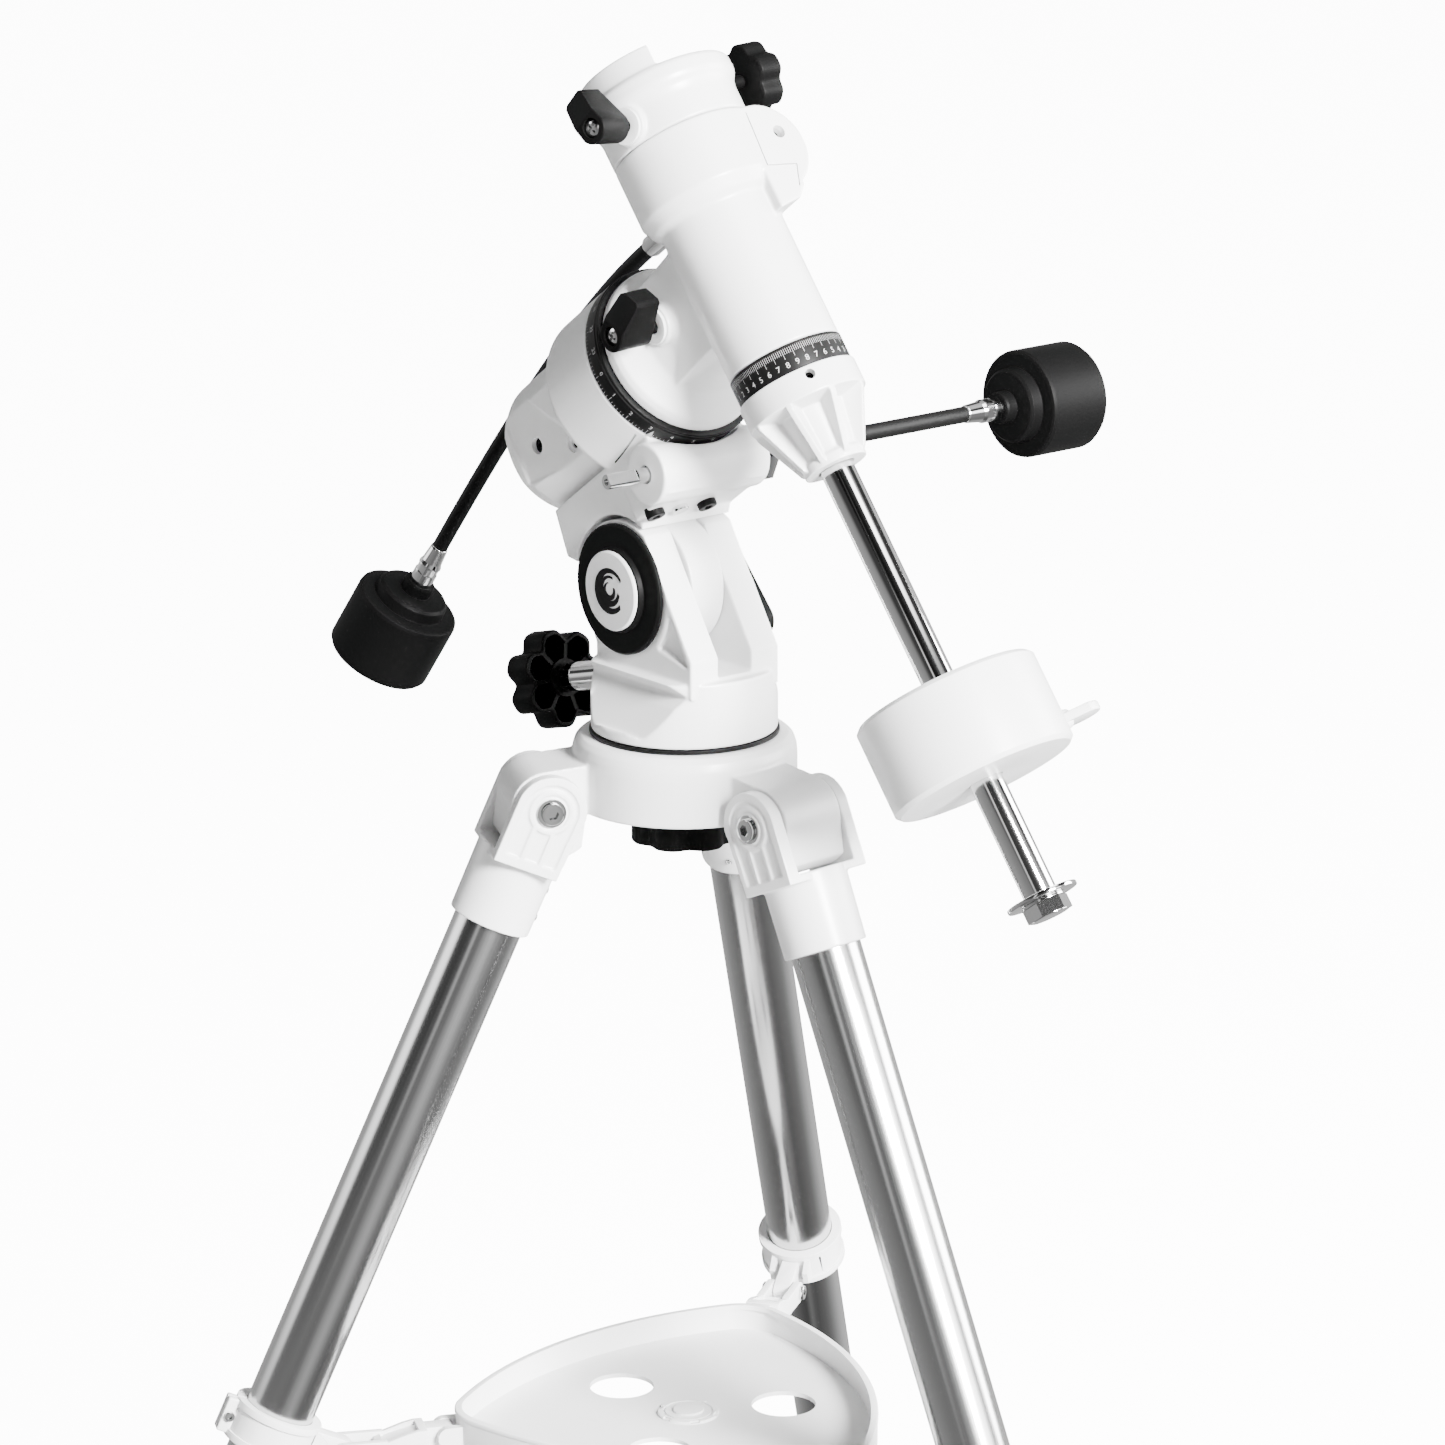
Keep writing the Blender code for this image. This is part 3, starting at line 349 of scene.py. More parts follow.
def cast(obj, fillet=8, voxel=VOXEL):
    """Cast surface: even remesh, inner corners filled, outer corners just broken."""
    filling = 0.7          # share of the way to its neighbours' middle, each step
    breaking = 0.5         # the same where the surface bulges,
    breaking_steps = 3     # and for how many steps
    normals_last = 4       # steps between looks at which way the surface faces
    remesh = obj.modifiers.new("grain", "REMESH")
    remesh.mode = "VOXEL"
    remesh.voxel_size = voxel
    applied(obj)
    mesh = obj.data
    count = len(mesh.vertices)
    places = np.empty(count * 3)
    mesh.vertices.foreach_get("co", places)
    places = places.reshape(-1, 3)
    pairs = np.empty(len(mesh.edges) * 2, dtype=np.int64)
    mesh.edges.foreach_get("vertices", pairs)
    one, two = pairs.reshape(-1, 2).T
    degree = np.bincount(np.concatenate((one, two)), minlength=count)
    normals = np.empty(count * 3)
    for step in range(fillet):
        if step % normals_last == 0:
            mesh.vertices.foreach_set("co", places.ravel())
            mesh.update()
            mesh.vertex_normals.foreach_get("vector", normals)
            facing = normals.reshape(-1, 3)
        middle = np.stack([(np.bincount(one, places[two, k], count)
                            + np.bincount(two, places[one, k], count)) / degree
                           for k in range(3)], axis=1)
        move = middle - places
        inner = (move * facing).sum(1) > 0
        share = np.where(inner, filling, breaking if step < breaking_steps else 0.0)
        places = places + move * share[:, None]
    mesh.vertices.foreach_set("co", places.ravel())
    mesh.update()
    return obj


def piece(obj, name, body, material, *nodes, sharp=32.0):
    """Finishes a working object: shown, shaded, painted and riding on its body."""
    applied(obj)
    tools.objects.unlink(obj)
    bpy.context.scene.collection.objects.link(obj)
    obj.name = name
    obj.hide_render = False
    obj.data.shade_smooth()
    obj.data.set_sharp_from_angle(angle=radians(sharp))
    obj.data.materials.clear()
    obj.data.materials.append(material)
    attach(obj, body)
    if nodes:
        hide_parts(*nodes)
    return obj


# ----------------------------------------------------------------- materials
def feed(tree, made, inputs):
    """Sets a node's inputs; each gets a value or the socket that drives it."""
    for name, value in inputs.items():
        if isinstance(value, bpy.types.NodeSocket):
            tree.links.new(value, made.inputs[name])
        else:
            made.inputs[name].default_value = value


def node(tree, kind, inputs, **settings):
    made = tree.nodes.new("ShaderNode" + kind)
    for name, value in settings.items():
        setattr(made, name, value)
    feed(tree, made, inputs)
    return made


def make_material(name, grey, roughness, metallic=0.0, relief=0.0, grain=0.0006,
                  stretch=(1.0, 1.0, 1.0), coat=0.0, shine=0.5):
    """Principled surface whose relief, polish and tone vary with procedural noise."""
    colour = grey if isinstance(grey, tuple) else (grey, grey, grey)
    material = bpy.data.materials.new(name)
    material.use_nodes = True
    tree = material.node_tree
    place = node(tree, "TexCoord", {})
    mapping = node(tree, "Mapping", {"Vector": place.outputs["Object"], "Scale": stretch})
    vector = mapping.outputs["Vector"]
    fine = node(tree, "TexNoise", {"Vector": vector, "Scale": 1.0 / grain, "Detail": 3.0})
    bump = node(tree, "Bump", {"Height": fine.outputs["Fac"], "Strength": 1.0,
                               "Distance": relief})
    polish = node(tree, "MapRange", {"Value": fine.outputs["Fac"], "To Min": roughness * 0.7,
                                     "To Max": roughness * 1.3})
    broad = node(tree, "TexNoise", {"Vector": vector, "Scale": 25.0})
    tone = node(tree, "Mix", {"Factor": broad.outputs["Fac"],
                              "A": (*(0.96 * c for c in colour), 1.0),
                              "B": (*(1.03 * c for c in colour), 1.0)}, data_type="RGBA")
    feed(tree, tree.nodes["Principled BSDF"], {
        "Base Color": tone.outputs["Result"], "Roughness": polish.outputs["Result"],
        "Normal": bump.outputs["Normal"], "Metallic": metallic, "Coat Weight": coat,
        "Coat Roughness": 0.2, "Specular IOR Level": shine})
    return material


ALONG_TUBE = (1.0, 1.0, 0.004)
WHITE = make_material("white_powder_coat", 0.74, 0.34, relief=0.000012, grain=0.0008,
                      coat=0.15)
PLASTIC = make_material("white_moulding", 0.76, 0.42, relief=0.000006)
IRON = make_material("iron_powder_coat", 0.74, 0.36, relief=0.000014, grain=0.0009,
                     coat=0.12)
BLACK = make_material("black_moulding", 0.0028, 0.50, relief=0.000008, shine=0.06)
DIAL = make_material("dial_black", 0.0030, 0.45, relief=0.000004, shine=0.16)
PRINT = make_material("dial_print", 0.40, 0.55)
SHEATH = make_material("sheath_black", 0.003, 0.50, relief=0.00001, shine=0.2)
CHROME = make_material("bright_chrome", 0.80, 0.09, 1.0)
STEEL = make_material("polished_tube", 0.60, 0.20, 1.0, relief=0.0000015, grain=0.0007,
                      stretch=ALONG_TUBE)
BRASS = make_material("turned_brass", (0.72, 0.55, 0.27), 0.28, 1.0)
RUBBER = make_material("moulded_rubber", 0.005, 0.75, relief=0.00002, shine=0.2)
BADGE = make_material("badge_silver", 0.80, 0.30, 0.15)


# ------------------------------------------------------------ shared details
def star_outline(radius, lobes, depth, per_lobe=16):
    """Wavy hand-knob outline: rounded lobes with hollows between them."""
    points = []
    for i in range(lobes * per_lobe):
        turn = 2 * pi * i / (lobes * per_lobe)
        wave = (1 - cos(lobes * turn)) / 2
        reach = radius - depth * (1 - wave) ** 2
        points.append((reach * cos(turn), reach * sin(turn)))
    return points


def hollow_knob(name, matrix, radius, lobes, depth, low, high, hub):
    """Star knob, open on its low side, with a hub and a rib in every hollow."""
    knob = plate(name, matrix, star_outline(radius, lobes, depth), low, high, 0.0012)
    wall = 0.0026
    room = plate("room", matrix, star_outline(radius - wall, lobes, depth),
                 low - 0.002, high - 0.0045)
    ribs = [rod("hub", matrix, hub, low - 0.003, high)]
    for i in range(lobes):
        turn = matrix @ spin(2 * pi * i / lobes)
        ribs.append(block("rib", turn, (0.0, -0.0011, low + 0.001), (radius, 0.0011, high)))
    return cut(knob, cut(room, *ribs))


def socket_screw(name, matrix, radius, low, high, hexagon, depth=0.0022):
    """Round head with a hexagon socket in its high end."""
    head = rod(name, matrix, radius, low, high, soft=0.0006)
    return cut(head, rod("socket", matrix, hexagon, high - depth, high + 0.001,
                         soft=0.0, steps=6))


def cross_screw(name, matrix, radius, low, high):
    """Raised round head with a cross recess."""
    dome = [(0.0, high), (radius * 0.55, high - 0.0002), (radius, high - 0.0010),
            (radius, low), (0.0, low)]
    head = lathe(name, matrix, dome, steps=48)
    arm = radius * 0.62
    wide = radius * 0.17
    return cut(head, *(block("cross", matrix @ spin(turn),
                             (-arm, -wide, high - 0.0012), (arm, wide, high + 0.001))
                       for turn in (0.0, pi / 2)))


def thread(name, matrix, radius, low, high, pitch=0.0010):
    """Threaded rod drawn as a stack of fine ridges."""
    count = max(2, round((high - low) / pitch))
    profile = [(0.0, high)]
    for i in range(count):
        top = high - i * (high - low) / count
        profile += [(radius * 0.90, top), (radius, top - 0.4 * pitch)]
    profile += [(radius * 0.90, low), (0.0, low)]
    return lathe(name, matrix, profile, soft=0.0, steps=48)


def print_marks(name, matrix, radius, marks):
    """Flat print wrapped round a drum; x runs round it and y along it."""
    bm = bmesh.new()
    for mark in marks:
        bm.from_mesh(mark)
    for vert in bm.verts:
        turn = vert.co.x / radius
        vert.co = (radius * cos(turn), radius * sin(turn), vert.co.y)
    return shaped(name, bm, matrix)


def bar_mark(x, low, high, width):
    mesh = bpy.data.meshes.new("bar")
    half = width / 2
    corners = [(x - half, low, 0), (x + half, low, 0), (x + half, high, 0), (x - half, high, 0)]
    mesh.from_pydata(corners, [], [(0, 1, 2, 3)])
    return mesh


def number_mark(text, x, middle, size, upside_down=False):
    """A number as flat faces, centred on x and middle."""
    curve = bpy.data.curves.new("number", "FONT")
    curve.body = text
    curve.size = size
    curve.align_x = "CENTER"
    curve.align_y = "CENTER"
    carrier = show("number", curve)
    mesh = evaluated(carrier)
    bpy.data.objects.remove(carrier, do_unlink=True)
    turn = spin(pi if upside_down else 0.0)
    mesh.transform(Matrix.Translation((x, middle, 0)) @ turn)
    return mesh


# -------------------------------------------------------------------- tripod
def radial_plane(angle):
    """Frame whose X is radial, Y is up and Z is tangent, on the tripod's axis."""
    out = Vector((cos(angle), sin(angle), 0.0))
    return frame((0, 0, 0), out.cross(UP), out)


def make_tripod_head():
    profile = [(0.0520, 0.0), (0.0560, -0.0006), (0.0589, -0.0032), (0.0603, -0.0075),
               (HEAD_RADIUS, -0.0120), (HEAD_RADIUS, -HEAD_DEPTH),
               (0.0500, -HEAD_DEPTH), (0.0480, -HEAD_DEPTH + 0.006),
               (0.0300, -HEAD_DEPTH + 0.006), (0.0280, -HEAD_DEPTH),
               (0.0070, -HEAD_DEPTH), (0.0070, 0.0)]
    head = lathe("head", TRIPOD, profile, closed=True, soft=0.0010)
    lug = [(0.048, -0.0360), (0.0585, -0.0375)]
    lug += arc(LEG_PIVOT, 0.0290, radians(-128), radians(-38), 18)
    lug += arc(LEG_PIVOT, 0.0205, 0.0, radians(80), 14)
    lug += [(0.048, -0.0095)]
    for angle in LEGS.values():
        plane = TRIPOD @ radial_plane(angle)
        join(head, plate("lug", plane, lug, -0.0200, 0.0200))
    cast(head)
    piece(head, "tripod_head_casting", "tripod", WHITE, "tripod_head")
    washer = ring("washer", TRIPOD, 0.0512, 0.0300, 0.0003, 0.0023)
    piece(washer, "azimuth_washer_ring", "tripod", DIAL, "azimuth_washer")


def make_leg_bracket(leg, name):
    """Collar round the tube's top and two ears with a raised rim round the bolt."""
    bore = TUBE_RADIUS + 0.0002
    top = -0.030
    seat = -0.040
    ear_inner = 0.0203
    ear_outer = 0.0280
    collar = [(0.0, top), (COLLAR_RADIUS + 0.0004, top), (COLLAR_RADIUS, -0.072),
              (bore, -0.072), (bore, seat), (0.0, seat)]
    bracket = lathe("bracket", leg, collar)
    ear = arc((0.0, 0.0), 0.0195, radians(-80), radians(90), 24)
    ear += [(-0.0345, 0.0195), (-0.0345, -0.0175)]
    flat = leg @ along("Y")
    for side in (-1, 1):
        low, high = span(side, ear_inner, ear_outer)
        join(bracket, plate("ear", flat, ear, low, high))
    shoulder = (-0.0175, -ear_outer, -0.0345), (0.0195, ear_outer, top)
    join(bracket, block("shoulder", leg, *shoulder))
    for side in (-1, 1):
        low, high = span(side, ear_outer - 0.0011, ear_outer + 0.01)
        room = plate("sunk_face", flat, arc((0.0, 0.0), 0.0150, radians(-90), radians(90), 16)
                     + [(-0.0290, 0.0150), (-0.0290, -0.0140)], low, high)
        keep = ring("ring_rib", flat, 0.0122, 0.0096, low - 0.001, high + 0.001)
        seat_pad = rod("pad", flat, 0.0080, low - 0.001, high + 0.001)
        ribs = [block("rib", flat, (-0.0310, y - 0.0011, low - 0.001),
                      (-0.0110, y + 0.0011, high + 0.001)) for y in (-0.0055, 0.0055)]
        cut(bracket, cut(room, keep, seat_pad, *ribs))
    cast(bracket, fillet=4, voxel=0.8 * VOXEL)
    piece(bracket, "leg_bracket_casting_" + name, "leg_" + name, WHITE, "leg_bracket_" + name)

    for axis, side_name in (("-Y", "far"), ("Y", "badge")):
        out = leg @ along(axis)
        washer = ring("washer", out, 0.0078, 0.0030, ear_outer + 0.0001, ear_outer + 0.0011)
        head = socket_screw("head", out, 0.0060, ear_outer + 0.0011, ear_outer + 0.0036, 0.0033)
        piece(merge(head, washer), "leg_bolt_{}_{}".format(side_name, name), "tripod", CHROME)
    shank = rod("shank", flat, 0.0040, -ear_outer, ear_outer)
    piece(shank, "leg_bolt_shank_" + name, "tripod", CHROME, "leg_pivot_bolt_" + name)
    screws = [socket_screw("grub", leg @ along("-X", (0.0, 0.0, station)), 0.0020, 0.018,
                           0.0238, 0.0011) for station in (-0.046, -0.062)]
    piece(merge(*screws), "leg_collar_screws_" + name, "leg_" + name, CHROME)


def make_leg_tubes(leg, name):
    upper = ring("upper", leg, TUBE_RADIUS, TUBE_RADIUS - 0.0010, -0.565, -0.0403, steps=TURN)
    piece(upper, "leg_tube_" + name, "leg_" + name, STEEL, "leg_upper_tube_" + name)
    low_end, high_end = axial(leg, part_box("leg_lower_tube_" + name))
    lower = ring("lower", leg, INNER_TUBE_RADIUS, 0.0147, low_end, high_end)
    piece(lower, "leg_inner_tube_" + name, "leg_lower_" + name, STEEL, "leg_lower_tube_" + name)


def axial(matrix, box):
    """Lowest and highest place of a straight bar's box along its own axis."""
    lean = matrix.col[2].xyz
    low, high = Vector(box[0]), Vector(box[1])
    start = (low.z - matrix.translation.z) / lean.z
    finish = (high.z - matrix.translation.z) / lean.z
    tilt = sqrt(1 - lean.z ** 2) / lean.z * INNER_TUBE_RADIUS
    return start + tilt, finish - tilt


def make_leg_lock(leg, name):
    tube = TUBE_RADIUS + 0.0003
    bush = 0.0162
    profile = [(0.0222, -0.540), (0.0236, -0.5425), (0.0236, -0.549), (0.0243, -0.550),
               (0.0243, -0.588), (0.0236, -0.5895), (0.0225, -0.594), (bush, -0.594),
               (bush, -0.5653), (tube, -0.5653), (tube, -0.540)]
    collar = lathe("lock", leg, profile, closed=True)
    screw = leg @ along("X", (0.0, 0.0, -0.580))
    join(collar, rod("boss", screw, 0.0080, 0.020, 0.0340, soft=0.0008))
    cut(collar, rod("bore", screw, 0.0034, 0.010, 0.040))
    piece(collar, "leg_lock_" + name, "leg_" + name, BLACK, "leg_lock_collar_" + name)
    knob = plate("knob", screw, star_outline(0.0130, 6, 0.0028), 0.0345, 0.0460, 0.0012)
    join(knob, rod("stem", screw, 0.0030, 0.0168, 0.0380))
    cut(knob, rod("dish", screw, 0.0070, 0.0448, 0.050))
    piece(knob, "leg_lock_star_" + name, "leg_lock_" + name, BLACK, "leg_lock_knob_" + name)


def make_foot(leg, name):
    length = leg.translation.z / leg.col[2].z
    seat = 0.0297 - length
    profile = [(0.0, seat), (0.0162, seat), (0.0162, seat + 0.032), (0.0185, seat + 0.032),
               (0.0200, seat + 0.027), (0.0200, seat + 0.014), (0.0193, seat + 0.0125),
               (0.0200, seat + 0.011), (0.0200, -length - 0.015), (0.0, -length - 0.015)]
    foot = lathe("foot", leg, profile)
    world = Matrix.Identity(4)
    cut(foot, block("ground", world, (-0.6, -0.8, -0.1), (0.6, 0.6, 0.0)))
    piece(foot, "leg_foot_rubber_" + name, "leg_lower_" + name, RUBBER, "leg_foot_" + name)


def make_spreader_clamp(leg, name):
    """Split ring with two raised bands, a hinge lug and its closing screw."""
    half = 0.011
    outer = 0.0235
    profile = [(outer, half), (outer, -half), (TUBE_RADIUS + 0.0002, -half),
               (TUBE_RADIUS + 0.0002, half)]
    here = leg @ shift(z=CLAMP_STATION)
    clamp = lathe("clamp", here, profile, closed=True)
    for low in (-half, half - 0.0040):
        join(clamp, ring("band", here, outer + 0.0012, TUBE_RADIUS + 0.001, low, low + 0.0040))
    across = leg @ along("Y", (0, 0, CLAMP_STATION))
    join(clamp, block("ears", here, (0.0225, -0.0045, -half + 0.001),
                      (0.0300, 0.0045, half - 0.001), 0.0010))
    cut(clamp, block("split", here, (0.015, -0.0008, -0.02), (0.04, 0.0008, 0.02)))
    lug = arc((0.0, -CLAMP_REACH), 0.0065, radians(180), radians(360), 18)
    lug += [(0.0065, -0.0215), (-0.0065, -0.0215)]
    join(clamp, plate("lug", across, lug, -0.005, 0.005, 0.0004))
    for side in (-1, 1):
        low, high = span(side, 0.0085, 0.0115)
        gusset = [(-0.0085, -0.0215), (0.0085, -0.0215), (0.0035, -0.0300), (-0.0035, -0.0300)]
        join(clamp, plate("gusset", across, gusset, low, high))
    piece(clamp, "spreader_ring_" + name, "leg_" + name, PLASTIC, "spreader_clamp_" + name)
    bolt = along("Y", (0.0262, 0.0, CLAMP_STATION))
    screw = socket_screw("screw", leg @ bolt, 0.0028, 0.0046, 0.0068, 0.0014, 0.0012)
    nut = rod("nut", leg @ bolt, 0.0030, -0.0066, -0.0046, steps=6)
    piece(merge(screw, nut), "spreader_ring_screw_" + name, "leg_" + name, CHROME)


def make_arm(leg, name, angle):
    """Spreader arm with raised side flanges, a tongue and two prongs."""
    pivot = spot("arm_fold_" + name)
    plane = radial_plane(angle)
    arm = frame(pivot, plane.col[2].xyz, plane.col[0].xyz)
    clamp_pin = leg @ Vector((-CLAMP_REACH, 0.0, CLAMP_STATION))
    end = (arm.inverted() @ clamp_pin).xy
    crotch = end.x - 0.018
    body = [(0.0115, -0.0075), (crotch, -0.0105), (crotch, -0.0010),
            (0.0230, 0.0045), (0.0170, 0.0058), (0.0115, 0.0058)]
    bar = plate("bar", arm, body, -0.010, 0.010, 0.0006)
    tray = [(0.0160, 0.0035), (crotch - 0.004, -0.0015), (crotch - 0.004, 0.01), (0.0160, 0.02)]
    cut(bar, plate("channel", arm, tray, -0.0070, 0.0070))
    tongue = arc((0.0, 0.0), 0.0055, radians(90), radians(270), 16)
    tongue += [(0.015, -0.0055), (0.015, 0.0055)]
    join(bar, plate("tongue", arm, tongue, -0.0052, 0.0052, 0.0003))
    prong = arc(end, 0.0060, radians(-90), radians(90), 16)
    prong += [(crotch - 0.006, 0.0015), (crotch - 0.006, -0.0095)]
    for side in (-1, 1):
        low, high = span(side, 0.0056, 0.010)
        join(bar, plate("prong", arm, prong, low, high, 0.0003))
    piece(bar, "arm_" + name + "_bar", "arm_" + name, PLASTIC, "spreader_arm_" + name)
    pin = arm @ shift(*end)
    heads = [socket_screw("head", pin, 0.0042, 0.0101, 0.0126, 0.0022, 0.0014),
             rod("nut", pin, 0.0044, -0.0126, -0.0101, steps=6)]
    piece(merge(*heads), "arm_" + name + "_bolt", "arm_" + name, CHROME)


def tray_outline(inset):
    """Triangle with bulging sides and round corners, each corner at a leg."""
    corner = 0.028 - inset
    centre = 0.103
    side = 0.101 - inset
    core = side - corner
    back = (centre ** 2 - core ** 2) / (2 * core - centre)
    points = []
    for angle in LEGS.values():
        middle = angle - radians(60)
        hub = -back * Vector((cos(middle), sin(middle)))
        tip = centre * Vector((cos(angle), sin(angle))) - hub
        swing = atan2(tip.y, tip.x)
        half = (swing - middle + pi) % (2 * pi) - pi
        points += arc(hub, side + back, middle - half, middle + half, 28)
        turn = radians(60) - half
        points += arc((centre * cos(angle), centre * sin(angle)), corner,
                      angle - turn, angle + turn, 16)[1:-1]
    return points


def make_tray():
    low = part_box("accessory_tray")[0][2] - TRIPOD.translation.z
    floor = low + 0.0025
    top = low + 0.0175
    hole_reach = 0.0547
    pin_radius = (spot("arm_fold_north") - spot("azimuth_turn")).xy.length
    pin_height = spot("arm_fold_north").z - TRIPOD.translation.z
    tray = plate("tray", TRIPOD, tray_outline(0.0), low, top, 0.0014, rim=60)
    cut(tray, plate("inside", TRIPOD, tray_outline(0.0026), floor, top + 0.01))
    rim = plate("lip", TRIPOD, tray_outline(-0.0004), top - 0.0030, top, 0.0008, rim=60)
    cut(rim, plate("lip_inside", TRIPOD, tray_outline(0.0036), top - 0.01, top + 0.01))
    join(tray, rim)
    hub = rod("hub", TRIPOD, 0.0170, low + 0.001, floor + 0.0016, soft=0.0006, steps=TURN)
    cut(hub, ring("hub_groove", TRIPOD, 0.0140, 0.0128, floor + 0.0008, floor + 0.01))
    for i in range(6):
        turn = TRIPOD @ spin(i * pi / 3)
        cut(hub, block("notch", turn, (0.0150, -0.0028, floor + 0.0005), (0.02, 0.0028, top)))
    join(hub, rod("hub_cap", TRIPOD, 0.0085, low + 0.001, floor + 0.0028, soft=0.0005))
    join(tray, hub)
    for angle in LEGS.values():
        away = angle - radians(60)
        middle = (hole_reach * cos(away), hole_reach * sin(away))
        cut(tray, rod("hole", TRIPOD @ shift(*middle), 0.0180, low - 0.01, floor + 0.01,
                      soft=0.0, steps=TURN))
        plane = TRIPOD @ radial_plane(angle)
        lug = arc((pin_radius, pin_height), 0.0060, radians(-60), radians(90), 14)
        lug += [(pin_radius - 0.009, pin_height + 0.006), (pin_radius - 0.009, low + 0.0005)]
        for side in (-1, 1):
            near, far = span(side, 0.0055, 0.0100)
            join(tray, plate("lug", plane, lug, near, far))
        join(tray, rod("pin", plane @ shift(pin_radius, pin_height), 0.0025, -0.008, 0.008))
    piece(tray, "tray_moulding", "tray", PLASTIC, "accessory_tray")


def make_azimuth_knob():
    low = -HEAD_DEPTH - 0.0225
    high = -HEAD_DEPTH - 0.0020
    knob = plate("knob", TRIPOD, star_outline(0.0295, 7, 0.0035), low, high, 0.0016)
    cut(knob, rod("dish", TRIPOD, 0.0130, low - 0.01, low + 0.002, soft=0.0))
    piece(knob, "azimuth_star", "azimuth_knob", BLACK, "azimuth_knob")
    bolt = thread("bolt", TRIPOD, 0.0060, high + 0.0003, 0.0120)
    piece(bolt, "azimuth_stud", "azimuth_knob", CHROME, "azimuth_bolt")


# -------------------------------------------------------- azimuth base and fork
SLOPE = radians(32.65)
FORK_FRONT = 0.033
TOE = 0.043


def on_front(up, inset=0.0):
    """North reach of the fork's sloping front at a height, less an inset."""
    return HINGE[0] + (FORK_FRONT - inset - (up - HINGE[1]) * sin(SLOPE)) / cos(SLOPE)


def fork_outline():
    bend = SLOPE + acos(FORK_FRONT / EAR_RADIUS)
    shin = HINGE[1] + (FORK_FRONT - (TOE - HINGE[0]) * cos(SLOPE)) / sin(SLOPE)
    outline = arc(HINGE, EAR_RADIUS, bend, radians(197), 48)
    outline += [(-0.038, 0.046), (-0.038, 0.030), (TOE, 0.030), (TOE, shin)]
    return outline


def make_azimuth_base():
    profile = [(0.0, BASE_TOP), (BASE_RADIUS, BASE_TOP), (BASE_RADIUS, 0.0026),
               (0.0063, 0.0026), (0.0063, 0.0135), (0.0, 0.0135)]
    base = lathe("base", HEAD, profile, soft=0.0012)
    side_view = HEAD @ SIDE_VIEW
    join(base, plate("fork", side_view, fork_outline(), -FORK_HALF, FORK_HALF))
    cut(base, block("slot", HEAD, (-SLOT_HALF, -0.07, 0.0395), (SLOT_HALF, 0.07, 0.13)))
    for side in (-1, 1):
        # The side falls away below the fork, with a small ledge above the fall.
        scoop = frame((side * FORK_HALF, 0.0, 0.031), (side * 0.749, 0.0, 0.661),
                      (side * 0.661, 0.0, -0.749))
        cut(base, block("scoop", HEAD @ scoop, (0.0, -0.07, 0.0), (0.05, 0.07, 0.03)))
        step = frame((side * (FORK_HALF + 0.0055), 0.0, 0.0245), (side * 0.87, 0.0, 0.50),
                     (side * 0.50, 0.0, -0.87))
        cut(base, block("ledge", HEAD @ step, (0.0, -0.032, 0.0), (0.02, 0.036, 0.02)))
        start = atan2(0.0735 - HINGE[1], on_front(0.0735, 0.005) - HINGE[0])
        rim = 0.0400
        low = 0.0470
        finish = -acos((HINGE[1] - low) / rim)
        corner = arc(HINGE, rim, start, finish - radians(8.0), 12)
        pocket = corner + [(on_front(low, 0.0045), low)]
        near, far = span(side, FORK_HALF - 0.0040, FORK_HALF + 0.02)
        cut(base, plate("pocket", side_view, pocket, near, far))
        near, far = span(side, FORK_HALF - 0.0006, FORK_HALF + 0.02)
        outer = plate("seat_line", side_view, arc(HINGE, 0.0363, 0.0, 2 * pi, 90)[:-1], near, far)
        cut(base, outer)
    cast(base)
    piece(base, "azimuth_base_casting", "mount_base", WHITE, "azimuth_base")


def make_badge(side):
    """Generic mark of three crescents, drawn as thin plates on the badge disc."""
    crescents = []
    for radius, thick, turn in ((0.0125, 0.0030, 0.3), (0.0085, 0.0024, 0.9),
                                (0.0050, 0.0018, 1.5)):
        here = side @ spin(turn)
        outer = arc((0.0, 0.0), radius, radians(20), radians(300), 40)
        inner = arc((thick * 0.6, 0.0), radius - thick, radians(300), radians(20), 40)
        crescents.append(plate("crescent", here, outer + inner, 0.0384, 0.0387))
    piece(merge(*crescents), "badge_crescents", "mount_base", DIAL)


def latitude_screw_frame():
    """The rear screw leans down by 15 degrees towards its knob."""
    return frame(spot("latitude_screw_spin"), way("latitude_screw_spin"), way("latitude_tilt"))


